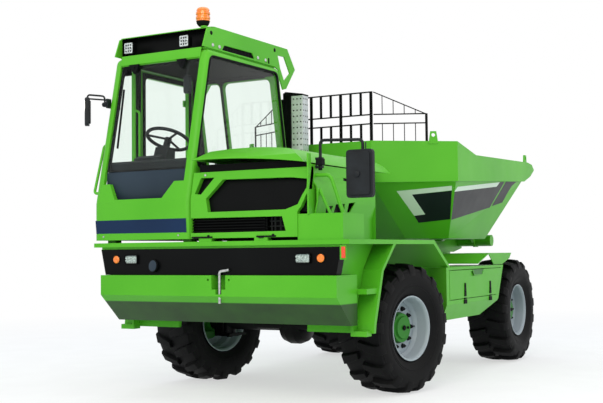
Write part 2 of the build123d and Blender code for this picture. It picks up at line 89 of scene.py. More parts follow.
def machineEnamel(name, deep, base, pale, gloss=0.2, roughness=(0.3, 0.42), paintedShade=None):
    # two-pack enamel on steel: even colour with a slow drift, faint orange peel 2 mm across, a low sheen
    material, tree, place = startMaterial(name)
    drift = addNode(tree, "ShaderNodeTexNoise", {"Scale": 1.3, "Detail": 2.0}, {"Vector": place})
    tone = addNode(tree, "ShaderNodeValToRGB", {"stops": [(0.3, deep), (0.5, base), (0.7, pale)]},
                   {"Fac": drift.outputs["Fac"]})
    peel = addNode(tree, "ShaderNodeTexNoise", {"Scale": 1000 / 2.0 / 4, "Detail": 1.0}, {"Vector": place})
    bump = addNode(tree, "ShaderNodeBump", {"Strength": 0.03, "Distance": 0.0005},
                   {"Height": peel.outputs["Fac"]})
    haze = addNode(tree, "ShaderNodeTexNoise", {"Scale": 6.0, "Detail": 4.0}, {"Vector": place})
    rough = addNode(tree, "ShaderNodeMapRange", {"To Min": roughness[0], "To Max": roughness[1]},
                    {"Value": haze.outputs["Fac"]})
    colour = tone.outputs["Color"]
    if paintedShade:  # painted shade: below the two heights, in metres, the enamel goes over to a darker green that stands for the shade on the low ballast
        split = addNode(tree, "ShaderNodeSeparateXYZ", {}, {"Vector": place})
        aboveShade = addNode(tree, "ShaderNodeMapRange", {"From Min": paintedShade[0], "From Max": paintedShade[1]},
                        {"Value": split.outputs["Z"]})
        shadeTone = addNode(tree, "ShaderNodeValToRGB", {"stops": [(0.3, paintedShade[2]), (0.7, paintedShade[3])]},
                       {"Fac": haze.outputs["Fac"]})
        over = addNode(tree, "ShaderNodeMix", {"data_type": "RGBA"},
                       {"Factor": aboveShade.outputs["Result"], 6: shadeTone.outputs["Color"], 7: colour})
        colour = over.outputs[2]
    shader = addNode(tree, "ShaderNodeBsdfPrincipled", {"IOR": 1.5, "Specular IOR Level": gloss},
                     {"Base Color": colour, "Roughness": rough.outputs["Result"],
                      "Normal": bump.outputs["Normal"]})
    closeMaterial(tree, shader.outputs["BSDF"])
    return material


def grainedFinish(name, tint, stops, bump, settings, grain=None, kind="ShaderNodeTexNoise", dulling=None):
    # one texture tints the finish through the stops, and dulls it between two roughnesses where given;
    # a second one, or the same, raises its grain
    material, tree, place = startMaterial(name)
    tinting = addNode(tree, kind, tint, {"Vector": place})
    tone = addNode(tree, "ShaderNodeValToRGB", {"stops": stops}, {"Fac": tinting.outputs["Fac"]})
    raising = addNode(tree, kind, grain, {"Vector": place}) if grain else tinting
    relief = addNode(tree, "ShaderNodeBump", bump, {"Height": raising.outputs["Fac"]})
    shader = addNode(tree, "ShaderNodeBsdfPrincipled", settings,
                     {"Base Color": tone.outputs["Color"], "Normal": relief.outputs["Normal"]})
    if dulling:
        rough = addNode(tree, "ShaderNodeMapRange", {"To Min": dulling[0], "To Max": dulling[1]},
                        {"Value": tinting.outputs["Fac"]})
        tree.links.new(rough.outputs["Result"], shader.inputs["Roughness"])
    closeMaterial(tree, shader.outputs["BSDF"])
    return material


def mouldedPlastic(name, dark, light, roughness, grainMm=0.8, strength=0.15, gloss=0.2):
    # injection-moulded polypropylene or sheet rubber: fine leathery grain and a soft broad sheen
    return grainedFinish(name, {"Scale": 9.0, "Detail": 3.0}, [(0.35, dark), (0.7, light)],
                         {"Strength": strength, "Distance": 0.0004},
                         {"Roughness": roughness, "IOR": 1.5, "Specular IOR Level": gloss},
                         {"Scale": 1000 / grainMm / 3, "Detail": 2.0})


def bareMetal(name, dark, light, roughness, metallic=1.0):
    # zinc-plated or rolled steel: patchy brightness and short scratches 1.2 mm apart
    return grainedFinish(name, {"Scale": 40.0, "Detail": 4.0}, [(0.3, dark), (0.65, light)],
                         {"Strength": 0.06, "Distance": 0.0003},
                         {"Metallic": metallic, "Roughness": roughness},
                         {"Scale": 1000 / 1.2 / 3, "Detail": 3.0})


def tyreRubber():
    # carbon-black rubber: matt, with ochre site dust and mould bloom in patches
    return grainedFinish("tyreRubber", {"Scale": 9.0, "Detail": 6.0, "Roughness": 0.65},
                         [(0.4, "#060607"), (0.58, "#0B0B0D"), (0.68, "#161515"), (0.8, "#2A231D")],
                         {"Strength": 0.25, "Distance": 0.0012}, {"IOR": 1.52, "Specular IOR Level": 0.12},
                         {"Scale": 300.0, "Detail": 3.0}, dulling=(0.5, 0.75))


def safetyGlass():
    # laminated glazing: clear, a breath of green at the edges, sharp weak reflections
    material, tree, place = startMaterial("safetyGlass")
    haze = addNode(tree, "ShaderNodeTexNoise", {"Scale": 3.0, "Detail": 2.0}, {"Vector": place})
    rough = addNode(tree, "ShaderNodeMapRange", {"To Min": 0.0, "To Max": 0.02},
                    {"Value": haze.outputs["Fac"]})
    clear = addNode(tree, "ShaderNodeBsdfTransparent", {"Color": hexToLinear("#FAFDFB")})
    gloss = addNode(tree, "ShaderNodeBsdfGlossy", {"Color": hexToLinear("#FFFFFF")},
                    {"Roughness": rough.outputs["Result"]})
    facing = addNode(tree, "ShaderNodeLayerWeight", {"Blend": 0.5})
    share = addNode(tree, "ShaderNodeMapRange",
                    {"From Min": 0.4, "From Max": 1.0, "To Min": 0.01, "To Max": 0.2},
                    {"Value": facing.outputs["Facing"]})
    mix = addNode(tree, "ShaderNodeMixShader", {}, {0: share.outputs["Result"], 1: clear.outputs["BSDF"],
                                                    2: gloss.outputs["BSDF"]})
    closeMaterial(tree, mix.outputs["Shader"])
    return material


def lensPlastic(name, dark, light, fluteMm=11.0):
    # polycarbonate lens over a reflector: saturated colour, fine flutes, a wet highlight
    return grainedFinish(name, {"Scale": 1000 / fluteMm, "Detail": 2.0}, [(0.35, dark), (0.65, light)],
                         {"Strength": 0.2, "Distance": 0.001},
                         {"Roughness": 0.12, "IOR": 1.58, "Coat Weight": 0.4, "Coat Roughness": 0.03})


def seatCloth():
    # woven polyester seat cloth, threads 1.5 mm apart: matt, with a soft sheen at the rolls
    return grainedFinish("seatCloth", {"Scale": 1000 / 1.5 / 6.28, "Distortion": 1.0},
                         [(0.2, "#17181B"), (0.8, "#26282D")], {"Strength": 0.3, "Distance": 0.0006},
                         {"Roughness": 0.9, "Sheen Weight": 0.2}, kind="ShaderNodeTexWave")


greenEnamel = machineEnamel("greenEnamel", "#4FA722", "#55AD26", "#5BB32B")
# the ballast's enamel carries painted shade: it turns darker green below 0.8 m
ballastEnamel = machineEnamel("ballastEnamel", "#4FA722", "#55AD26", "#5BB32B",
                              paintedShade=(0.79, 0.80, "#1D3E13", "#284F1A"))
# a darker copy of the green enamel: painted shade, for the hubs deep in the rims and the recess of the toolbox
# pull
shadeGreenEnamel = machineEnamel("shadeGreenEnamel", "#23661A", "#2A7320", "#328026")
navyEnamel = machineEnamel("navyEnamel", "#0F2443", "#12294A", "#152E52", 0.15)
whiteEnamel = machineEnamel("whiteEnamel", "#D8E2D4", "#DFE8DC", "#E6EEE2", 0.15)
charcoalEnamel = machineEnamel("charcoalEnamel", "#15181D", "#191D23", "#1E232A", 0.15)
slateEnamel = machineEnamel("slateEnamel", "#27313D", "#2E3946", "#35414F", 0.15)
blackEnamel = machineEnamel("blackEnamel", "#060607", "#08090A", "#0C0D0E", 0.08)
wheelEnamel = machineEnamel("wheelEnamel", "#8F969E", "#9CA3AA", "#A9B0B7", 0.3)
grainedPlastic = mouldedPlastic("grainedPlastic", "#15181C", "#1E2227", 0.55)
headLining = mouldedPlastic("headLining", "#07090A", "#0F1110", 0.85, gloss=0.05)
seamRubber = mouldedPlastic("seamRubber", "#0B0C0E", "#131417", 0.7, gloss=0.1)
zincSteel = bareMetal("zincSteel", "#9FA2A3", "#C9CBCB", 0.32)
guardSheet = bareMetal("guardSheet", "#C6CAD0", "#DDE0E4", 0.42, metallic=0.6)
hardChrome = bareMetal("hardChrome", "#CDD0D3", "#E3E5E7", 0.1)
castIron = mouldedPlastic("castIron", "#141517", "#202225", 0.6, 3.0, 0.4)
rubber = tyreRubber()
glass = safetyGlass()
amberLens = lensPlastic("amberLens", "#E9690A", "#FF8E1E")
redLens = lensPlastic("redLens", "#D83408", "#F04A12", 5.0)
clearLens = lensPlastic("clearLens", "#8F9396", "#DDE1E4")
cloth = seatCloth()
print("materials made:", len(bpy.data.materials))

finishOf = {  # the record's slots and the finish that each one stands for
    "green_paint": greenEnamel, "black_paint": blackEnamel, "charcoal_plastic": grainedPlastic,
    "rim_silver": wheelEnamel, "bright_steel": zincSteel, "guard_steel": guardSheet, "cast_grey": castIron,
    "tyre_rubber": rubber, "tinted_glass": glass, "amber": amberLens, "lamp_face": clearLens,
    "seat_fabric": cloth, "chrome": hardChrome,
}
ownFinish = {"ballast": ballastEnamel, "axle_cab_end": blackEnamel, "axle_skip_end": blackEnamel}
# the hubs take the darker green as painted shade; the knuckles and axle ends are black
for corner in ("cab_right", "cab_left", "skip_right", "skip_left"):
    ownFinish[f"hub_{corner}"] = shadeGreenEnamel
    ownFinish[f"knuckle_{corner}"] = blackEnamel
slotOf = {finish.name: slot for slot, finish in finishOf.items()}  # the slot each finish stands for; makePiece looks it up when a piece names none and does nothing more with it
slotOf.update({"shadeGreenEnamel": "green_paint", "whiteEnamel": "green_paint", "navyEnamel": "black_paint",
               "charcoalEnamel": "black_paint", "seamRubber": "black_paint", "headLining": "charcoal_plastic",
               "slateEnamel": "charcoal_plastic", "redLens": "amber"})
edgeLook = {"cadMm": 3.0, "cadDeg": 28, "pieceDeg": 40, "segments": 2,
            "plainNodes": ("cab_glass", "door_glass")}


def soften(thing, widthMm, angleDeg):
    bevel = thing.modifiers.new("softEdge", "BEVEL")
    bevel.width = widthMm / 1000
    bevel.segments = edgeLook["segments"]
    bevel.limit_method = "ANGLE"
    bevel.angle_limit = math.radians(angleDeg)


for part in frame["record"]["subparts"]:
    node = cadNodes[part["node"]]
    node.data.materials.clear()
    node.data.materials.append(ownFinish.get(part["node"], finishOf[part["material_slot"]]))
    if part["node"] not in edgeLook["plainNodes"]:
        soften(node, edgeLook["cadMm"], edgeLook["cadDeg"])
print("nodes finished")


def prism(outline, low, high):
    count = len(outline)  # outline in local X and Y, from low to high along local Z
    verts = [(x, y, z) for z in (low, high) for x, y in outline]
    faces = [tuple(reversed(range(count))), tuple(range(count, 2 * count))]
    faces += [(i, (i + 1) % count, count + (i + 1) % count, count + i) for i in range(count)]
    return verts, faces


def block(x, y, z):
    return prism([(x[0], y[0]), (x[1], y[0]), (x[1], y[1]), (x[0], y[1])], *z)


def plate(halfWidth, halfHeight, radius, low, high, steps=5):
    corners = [(-halfWidth, -halfHeight), (halfWidth, -halfHeight), (halfWidth, halfHeight),
               (-halfWidth, halfHeight)]
    return prism(rounded(corners, radius, steps), low, high)


def stitched(rings):
    count = len(rings[0])  # rings of equally many points, joined one to the next and capped at both ends
    verts = [tuple(point) for ring in rings for point in ring]
    faces = []
    for start in range(0, (len(rings) - 1) * count, count):
        for i in range(count):
            j = (i + 1) % count
            faces.append((start + i, start + j, start + count + j, start + count + i))
    faces += [tuple(reversed(range(count))), tuple(range(len(verts) - count, len(verts)))]
    return verts, faces


def circle(sides):
    return [(math.cos(2 * math.pi * i / sides), math.sin(2 * math.pi * i / sides)) for i in range(sides)]


def lathe(profile, sides=24):
    # profile: pairs of height along local Z and radius, closed at its ends
    return stitched([[(radius * x, radius * y, height) for x, y in circle(sides)] for height,
                     radius in profile])


def ringOf(profile, sides=48):
    verts, faces = lathe(profile, sides)  # a closed profile swept round: no caps, its ends joined
    faces = faces[:-2]
    last = (len(profile) - 1) * sides
    faces += [(last + i, last + (i + 1) % sides, (i + 1) % sides, i) for i in range(sides)]
    return verts, faces


def rounded(outline, radius, steps=5):
    total = []  # the outline with every corner drawn as an arc of the given radius
    count = len(outline)
    for i in range(count):
        before, here, after = (Vector(outline[(i + k) % count]) for k in (-1, 0, 1))
        back, ahead = (before - here).normalized(), (after - here).normalized()
        half = math.acos(max(-1.0, min(1.0, back.dot(ahead)))) / 2
        reach = min(radius / math.tan(half), (before - here).length * 0.49, (after - here).length * 0.49)
        for k in range(steps + 1):
            t = k / steps
            total.append(tuple(here + back * reach * (1 - t) ** 2 + ahead * reach * t ** 2))
    return total


def pipe(points, radius, sides=10, bend=0.0):
    path = [Vector(p) for p in points]  # a round bar along the points, its corners bent to the given radius
    if bend:
        line = [path[0]]
        for before, here, after in zip(path, path[1:], path[2:]):
            back, ahead = (before - here).normalized(), (after - here).normalized()
            reach = min(bend, (before - here).length * 0.49, (after - here).length * 0.49)
            line += [here + back * reach * (1 - k / 6) ** 2 + ahead * reach * (k / 6) ** 2 for k in range(7)]
        path = line + [path[-1]]
    rings = []
    side = (path[1] - path[0]).orthogonal().normalized()
    for i, here in enumerate(path):
        along = (path[min(i + 1, len(path) - 1)] - path[max(i - 1, 0)]).normalized()
        side = (side - along * side.dot(along)).normalized()
        over = along.cross(side)
        rings.append([here + side * radius * x + over * radius * y for x, y in circle(sides)])
    return stitched(rings)


def frameOf(inner, outer, low, high):
    count = len(inner)  # flat frame between two outlines with the same number of points
    verts = [(x, y, z) for z in (low, high) for line in (inner, outer) for x, y in line]
    faces = []
    for i in range(count):
        j = (i + 1) % count
        a, b, c, d = i, j, count + j, count + i
        up = 2 * count
        faces += [(a, b, c, d), (a + up, d + up, c + up, b + up), (a, a + up, b + up, b),
                  (d, c, c + up, d + up)]
    return verts, faces


def merged(shapes):
    verts, faces = [], []
    for shapeVerts, shapeFaces in shapes:
        base = len(verts)
        verts += shapeVerts
        faces += [tuple(base + i for i in face) for face in shapeFaces]
    return verts, faces


def moved(shape, matrix):
    return [tuple(matrix @ Vector(v)) for v in shape[0]], shape[1]


def mirrored(shape):
    return [(-x, y, z) for x, y, z in shape[0]], [tuple(reversed(face)) for face in shape[1]]


toFront, toRight, toLeft = (0, -1, 0), (1, 0, 0), (-1, 0, 0)


def seat(place, direction=(0, 0, 1)):
    aim = Vector(direction).to_track_quat("Z", "Y").to_matrix().to_4x4()  # local Z along the direction
    return Matrix.Translation(place) @ aim


def onCircle(count, radius, height, shift=0.0):
    angles = [2 * math.pi * (i + shift) / count for i in range(count)]
    return [Matrix.Translation((radius * math.cos(a), radius * math.sin(a), height)) for a in angles]


def outwardMesh(name, verts, faces):
    mesh = bpy.data.meshes.new(name)
    mesh.from_pydata(verts, [], faces)
    work = bmesh.new()
    work.from_mesh(mesh)
    bmesh.ops.recalc_face_normals(work, faces=work.faces)
    work.to_mesh(mesh)
    work.free()
    return mesh


def newObject(name, data):
    thing = bpy.data.objects.new(name, data)
    bpy.context.collection.objects.link(thing)
    return thing


def makePiece(name, shape, finish, body="chassis", slot=None, bevelMm=0.0, smoothDeg=35):
    mesh = outwardMesh(name, [(x / 1000, y / 1000, z / 1000) for x, y, z in shape[0]], shape[1])
    mesh.materials.append(finish)
    mesh.polygons.foreach_set("use_smooth", [True] * len(mesh.polygons))
    mesh.set_sharp_from_angle(angle=math.radians(smoothDeg))
    piece = newObject(name, mesh)
    if bevelMm:
        soften(piece, bevelMm, edgeLook["pieceDeg"])
    slot = slot or slotOf[finish.name]
    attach(piece, body)
    return piece


surfaces = {}


def surfacePoint(nodeName, start, direction):
    if nodeName not in surfaces:  # millimetres; where a line from the start first meets the node
        mesh = cadNodes[nodeName].data
        surfaces[nodeName] = BVHTree.FromPolygons([v.co * 1000 for v in mesh.vertices],
                                                  [tuple(p.vertices) for p in mesh.polygons])
    return surfaces[nodeName].ray_cast(start, direction)[0]


def laidOn(nodeName, outline, direction, thickMm=0.8, cutMm=120):
    work = bmesh.new()  # a thin sheet cut to the outline, following the node's surface along the direction
    way = Vector(direction).normalized()
    turn = way.to_track_quat("Z", "Y").inverted()
    corners = [work.verts.new(p) for p in outline]
    for triple in tessellate_polygon([[(turn @ Vector(p)).to_2d().to_3d() for p in outline]]):
        work.faces.new([corners[i] for i in triple])
    for spare in range(8):
        long = [edge for edge in work.edges if edge.calc_length() > cutMm]
        if not long:
            break
        bmesh.ops.subdivide_edges(work, edges=long, cuts=1)
        bmesh.ops.triangulate(work, faces=work.faces[:])
    for vert in work.verts:
        place = surfacePoint(nodeName, vert.co - way * 300, way)
        if place is not None:
            vert.co = place - way * thickMm
    work.verts.index_update()
    shape = ([tuple(v.co) for v in work.verts], [tuple(v.index for v in f.verts) for f in work.faces])
    work.free()
    return shape


def hexBolt(acrossMm, highMm, washer=True):
    corner = acrossMm / 2 / math.cos(math.pi / 6)  # head on its washer, seen along local Z
    parts = [prism([(corner * x, corner * y) for x, y in circle(6)], 1.5, highMm)]
    if washer:
        parts.append(lathe([(-0.5, corner * 1.25), (2.0, corner * 1.25)], 20))
    return merged(parts)


def domeBolt(radius, high):
    return lathe([(-0.5, radius), (high * 0.3, radius), (high * 0.75, radius * 0.8), (high, radius * 0.35)],
                 16)


def wheels():
    found = []  # each wheel's corner, its body and the matrix of its hub, local Z outwards
    for joint in frame["joints"]:
        if joint["name"].startswith("spin_"):
            out = Vector(joint["axis"]) * (1 if joint["pos_m"][0] > 0 else -1)
            found.append((joint["name"][5:], joint["child"], seat([v * 1000 for v in joint["pos_m"]], out)))
    return found


def bolted(radius, high, places, way):
    return [moved(domeBolt(radius, high), seat(place, way)) for place in places]


wheelLook = {"nuts": 10, "nutRing": 163, "discFace": 50, "nutAcross": 30, "nutHigh": 20, "studReach": 34,
             "hubBolts": 12, "hubRing": 115, "hubFace": 71, "plugFace": 107.5, "fillerAt": (58, 0, -2),
             "valve": [(212, 0, 24), (216, 0, 40), (222, 0, 62)]}
# radius, where the sidewall lies, half width, how far proud of it
sidewallRings = [(285, 170.5, 5, 4), (345, 205.8, 4, 3.5), (362, 208.6, 3, 3), (470, 203.5, 4, 3.5)]


def dressWheels():
    for corner, body, hubPlace in wheels():  # nuts, hub bolts, valve and sidewall rings
        nuts, studs, bolts = [], [], []
        for place in onCircle(wheelLook["nuts"], wheelLook["nutRing"], wheelLook["discFace"]):
            nuts.append(moved(hexBolt(wheelLook["nutAcross"], wheelLook["nutHigh"]), place))
            stud = lathe([(0, 8), (wheelLook["studReach"] - 2, 8), (wheelLook["studReach"], 6)], 12)
            studs.append(moved(stud, place))
        for place in onCircle(wheelLook["hubBolts"], wheelLook["hubRing"], wheelLook["hubFace"], 0.5):
            bolts.append(moved(hexBolt(13, 10, False), place))
        plug = Matrix.Translation((0, 0, wheelLook["plugFace"]))
        bolts.append(moved(hexBolt(30, 9), plug))
        bolts.append(moved(hexBolt(17, 8), plug @ Matrix.Translation(wheelLook["fillerAt"])))
        makePiece(f"wheel_nuts_{corner}", moved(merged(nuts + studs), hubPlace), castIron, body, bevelMm=0.8)
        makePiece(f"hub_bolts_{corner}", moved(merged(bolts), hubPlace), blackEnamel, body, bevelMm=0.6)
        valve = pipe(wheelLook["valve"], 4.5, 8)
        makePiece(f"valve_{corner}", moved(valve, hubPlace), seamRubber, body)
        rings = []
        for radius, reach, wide, proud in sidewallRings:
            foot, crest = reach - 4, reach + proud * 0.7
            for face in (1, -1):
                rings.append(ringOf([(face * foot, radius - wide * 1.6), (face * crest, radius - wide * 0.6),
                                     (face * crest, radius + wide * 0.6), (face * foot, radius + wide * 1.6)],
                                     72))
        makePiece(f"sidewall_rings_{corner}", moved(merged(rings), hubPlace), rubber, body)


dressWheels()
print("wheels dressed")

stripeLook = {  # millimetres, on the skip's right half: a pale chevron round a dark field, and along the side
    "wingPale": [(637, -263, 1726), (1115, -78, 1769), (1098, -35, 1730), (750, -165, 1696), (778, 80, 1523),
                 (679, 46, 1510)],
    "wingDark": [(750, -165, 1696), (1096, -32, 1728), (969, 239, 1476), (686, 135, 1447), (679, 46, 1510),
                 (778, 80, 1523)],
    "sidePale": [(1132, -50, 1771), (1179, 1257, 1858), (1154, 1213, 1811), (1110, 0, 1731)],
    "sideDark": [(1110, 0, 1731), (1154, 1213, 1811), (1179, 1257, 1858), (1186, 1418, 1868),
                 (1040, 1300, 1603),
                 (975, 262, 1472)],
    "sideTail": [(1188, 1456, 1870), (1197, 1777, 1889), (1073, 1640, 1663), (1052, 1348, 1617)],
    "wingWay": (-0.29, 0.573, 0.766), "sideWay": (-0.878, 0.0, 0.479),
    "cabBand": [(-1176, 1464), (-246, 1464), (-241, 1351), (-1166, 1355)],
}


def layStripes():
    pale, dark = [], []
    for name in ("wingPale", "sidePale", "wingDark", "sideDark", "sideTail"):
        way = stripeLook["wingWay" if name.startswith("wing") else "sideWay"]
        sheet = laidOn("skip", stripeLook[name], way)
        group = pale if name.endswith("Pale") else dark
        group += [sheet, mirrored(sheet)]
    makePiece("skip_stripe_pale", merged(pale), whiteEnamel, "skip_bed")
    makePiece("skip_stripe_dark", merged(dark), charcoalEnamel, "skip_bed")
    band = laidOn("cab_shell", [(x, -2500, z) for x, z in stripeLook["cabBand"]], (0, 1, 0))
    makePiece("cab_band_navy", band, navyEnamel)


layStripes()
print("stripes laid")

axes = {"x": lambda a, b, c: (c, a, b), "y": lambda a, b, c: (a, c, b), "z": lambda a, b, c: (a, b, c)}


def prismAlong(axis, outline, low, high):
    # the outline across the named axis, carried from low to high along it
    verts, faces = prism(outline, low, high)
    return [axes[axis](a, b, c) for a, b, c in verts], faces


def rod(start, end, radius, sides=20):
    return pipe([start, end], radius, sides)


def carve(base, cutters, operation="DIFFERENCE"):
    helpers = []  # the base less, or kept inside, each of the cutters
    for verts, faces in [base] + list(cutters):
        helpers.append(newObject("carving", outwardMesh("carving", verts, faces)))
    for cutter in helpers[1:]:
        boolean = helpers[0].modifiers.new("carve", "BOOLEAN")
        boolean.operation = operation
        boolean.solver = "EXACT"
        boolean.object = cutter
    view = bpy.context.evaluated_depsgraph_get()
    view.update()
    result = bpy.data.meshes.new_from_object(helpers[0].evaluated_get(view))
    shape = ([tuple(v.co) for v in result.vertices], [tuple(p.vertices) for p in result.polygons])
    bpy.data.meshes.remove(result)
    for helper in helpers:
        mesh = helper.data
        bpy.data.objects.remove(helper)
        bpy.data.meshes.remove(mesh)
    return shape


def within(base, limits):
    return carve(base, [limits], "INTERSECT")


def grown(outline, gap):
    total = []  # the outline with every edge moved outwards by the gap, inwards where it is negative
    count = len(outline)
    area = sum(outline[i][0] * outline[(i + 1) % count][1] - outline[(i + 1) % count][0] * outline[i][1]
               for i in range(count))
    turn = 1 if area > 0 else -1
    for i in range(count):
        before, here, after = (Vector(outline[(i + k) % count]) for k in (-1, 0, 1))
        first, second = (here - before).normalized(), (after - here).normalized()
        normals = [Vector((way.y, -way.x)) * turn for way in (first, second)]
        middle = (normals[0] + normals[1]).normalized()
        total.append(tuple(here + middle * gap / max(0.25, middle.dot(normals[0]))))
    return total


# carcass: half profile of across and radius; columns: across and reach of a lug
# leading, trailing: its edges, across and round the tread at the radius they are drawn at
tyreLook = {"lugs": 17, "foot": 436, "drawnAt": 520, "draft": 0.0006,
            "carcass": [(162, 259), (166, 276), (205, 335), (215, 400), (211, 450), (196, 492), (150, 505)],
            "columns": [(12, 540), (60, 540), (92, 540), (130, 536), (186, 528), (206, 502), (213, 462)],
            "leading": [(12, -18), (120, 8), (216, 26)], "trailing": [(12, 34), (120, 78), (216, 108)]}


def between(pairs, x):
    for (x0, y0), (x1, y1) in zip(pairs, pairs[1:]):
        if x <= x1:
            break
    return y0 + (y1 - y0) * (x - x0) / (x1 - x0)


def lugShape(turn, side):
    rings = []
    for x, reach in tyreLook["columns"]:
        edges = [between(tyreLook[key], x) / tyreLook["drawnAt"] + turn for key in ("leading", "trailing")]
        taper = (reach - tyreLook["foot"]) * tyreLook["draft"]
        corners = ((edges[0], reach), (edges[1], reach), (edges[1] + taper, tyreLook["foot"]),
                   (edges[0] - taper, tyreLook["foot"]))
        rings.append([(radius * math.cos(angle), radius * math.sin(angle), side * x) for angle,
                      radius in corners])
    return stitched(rings)


def mountTyres():
    half = tyreLook["carcass"]
    profile = half + [(-x, r) for x, r in reversed(half)]
    for corner, body, hubPlace in wheels():
        carcass = ringOf(profile, 96)
        piece = makePiece(f"tyre_carcass_{corner}", moved(carcass, hubPlace), rubber, body, smoothDeg=50)
        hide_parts(f"tyre_{corner}")
        lugs = []
        for i in range(tyreLook["lugs"]):
            turn = 2 * math.pi * i / tyreLook["lugs"]
            lugs += [lugShape(turn, 1), lugShape(turn + math.pi / tyreLook["lugs"], -1)]
        piece = makePiece(f"tyre_lugs_{corner}", moved(merged(lugs), hubPlace), rubber, body, bevelMm=4)
        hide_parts(f"tyre_{corner}")


mountTyres()
print("tyres mounted")

cabLook = {  # millimetres: outer form by level (z, x low, x high, y front, y rear) and what is cut into it
    "levels": [(1298, -1190, -217, -2393, -638), (1606, -1190, -217, -2393, -698),
               (2880, -1190, -217, -2104, -945)],
    "wall": 40, "corner": 50, "floor": 1298, "lean": 0.227, "crease": 1606, "front": -2393, "sill": 1872,
    "screen": [(-977, 1634), (-492, 1634), (-388, 1769), (-291, 1769), (-291, 2800), (-1119, 2800),
               (-1119, 1769),
               (-1052, 1769)],
    "rear": [(-835, 1850), (-318, 1850), (-318, 2788), (-835, 2788)],
    "rearQuarter": [(-1120, 1850), (-872, 1850), (-872, 2788), (-1120, 2788)],
    "frontQuarter": [(-2331, 1720), (-2082, 2800), (-1890, 2800), (-1890, 1720)],
    "side": [(-2297, 1872), (-2080, 2826), (-982, 2836), (-796, 1872)],
    "door": [(-1800, 1345), (-1800, 2820), (-1025, 2820), (-1025, 1345)],
    "doorGlass": [(-1745, 1640), (-1745, 2765), (-1080, 2765), (-1080, 1640)], "doorGap": 8,
    "hinge": (-1204, -1010),
    "hingeHeights": (1520, 2580), "knuckleHigh": 60, "strapReach": 90, "liningTop": 2844,
    "footPanel": [(-2312, 1870), (-2312, 1712), (-2290, 1622), (-2282, 1622), (-2304, 1713), (-2304, 1870)],
}
# cut depths
leftWall, rightWall, frontWall, rearWall = (-1300, -1000), (-360, -150), (-2500, -2000), (-1050, -500)


def frontY(z):
    return cabLook["front"] + cabLook["lean"] * max(0, z - cabLook["crease"])


def cabBody(depth):
    # rounded rectangles by level, the last ones closing over the roof edge
    radius = cabLook["corner"] - depth
    rows = [(level[0], *level[1:], 0.0) for level in cabLook["levels"][:-1]]
    low, top = cabLook["levels"][-2:]
    for k in range(6):
        angle = math.pi / 2 * k / 5
        z = top[0] - depth - radius * (1 - math.sin(angle))
        t = (z - low[0]) / (top[0] - low[0])
        sides = [a + (b - a) * t for a, b in zip(low[1:], top[1:])]
        rows.append((z, *sides, radius * (1 - math.cos(angle))))
    rings = []
    for z, x0, x1, y0, y1, inset in rows:
        left, right = x0 + depth + inset, x1 - depth - inset
        front, rear = y0 + depth + inset, y1 - depth - inset
        corners = rounded([(left, front), (right, front), (right, rear), (left, rear)],
                          max(radius - inset, 2.0), 4)
        rings.append([(x, y, z) for x, y in corners])
    return stitched(rings)


def cabOpenings(gap):
    cuts = [prismAlong("y", grown(cabLook["screen"], -gap), *frontWall)]
    cuts.append(prismAlong("x", rounded(grown(cabLook["side"], -gap), 75), *rightWall))
    cuts += [prismAlong("y", rounded(grown(cabLook[key], -gap), 60), *rearWall)
             for key in ("rear", "rearQuarter")]
    cuts.append(prismAlong("x", rounded(grown(cabLook["frontQuarter"], -gap), 40), -1300, -1050))
    return cuts


def hingePairs(owner):
    x, y = cabLook["hinge"]
    knuckle = cabLook["knuckleHigh"]
    lift, way = (0, -1) if owner == "leaf" else (knuckle + 1, 1)
    total = []
    for z in cabLook["hingeHeights"]:
        low, high = z + lift, z + lift + knuckle
        total.append(rod((x, y, low), (x, y, high), 12))
        total.append(block((x - 2, -1189), sorted((y, y + way * cabLook["strapReach"])), (low, high)))
    return total


def buildCab():
    wall = cabLook["wall"]
    inner = within(cabBody(wall), block((-2000, 2000), (-3000, 3000), (cabLook["floor"] + wall, 2845)))
    doorway = prismAlong("x", grown(cabLook["door"], cabLook["doorGap"]), *leftWall)
    shell = carve(cabBody(0), [inner] + cabOpenings(0) + [doorway])
    piece = makePiece("cab_cell", merged([shell] + hingePairs("post")), greenEnamel, bevelMm=2)
    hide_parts("cab_shell")
    pane = carve(cabBody(12), [cabBody(18)])
    cuts = cabOpenings(2)
    cuts[0] = within(cuts[0], block((-1300, 0), (-2600, -1900), (cabLook["sill"], 2900)))
    panes = [within(pane, cut) for cut in cuts]
    piece = makePiece("cab_glazing", merged(panes), glass, smoothDeg=1)
    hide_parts("cab_glass")
    leaf = within(carve(cabBody(0), [cabBody(wall)]), prismAlong("x", cabLook["door"], -1300, -1050))
    doorLight = prismAlong("x", rounded(cabLook["doorGlass"], 50), *leftWall)
    leaf = carve(leaf, [doorLight])
    piece = makePiece("door_leaf", merged([leaf] + hingePairs("leaf")), greenEnamel, "door", bevelMm=2)
    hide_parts("cab_door")
    doorPane = within(pane, prismAlong("x", rounded(grown(cabLook["doorGlass"], -2), 50), *leftWall))
    piece = makePiece("door_pane", doorPane, glass, "door", smoothDeg=1)
    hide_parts("door_glass")
    panel = prismAlong("x", cabLook["footPanel"], -1119, -291)
    makePiece("screen_foot_panel", panel, slateEnamel, bevelMm=1.5)
    sill, across, along = cabLook["door"][0][1], (-2000, 0), (-3000, 0)
    cuts = [prismAlong("x", grown(cabLook["door"], 12), *leftWall), block(across, along, (1000, sill))]
    lining = carve(cabBody(wall + 1), [cabBody(wall + 6)] + cabOpenings(-8) + cuts)
    lining = within(lining, block(across, along, (sill, cabLook["liningTop"])))
    makePiece("cab_lining", lining, headLining)
    doorLining = carve(cabBody(wall + 1), [cabBody(wall + 5)])
    doorLining = within(doorLining, prismAlong("x", grown(cabLook["door"], -12), *leftWall))
    doorLining = carve(doorLining, [doorLight])
    makePiece("door_lining", doorLining, headLining, "door")
    roofLining = block((-1145, -262), (-2085, -1000), (2832, cabLook["liningTop"]))
    makePiece("roof_lining", roofLining, headLining, bevelMm=3)


buildCab()
print("cab built")

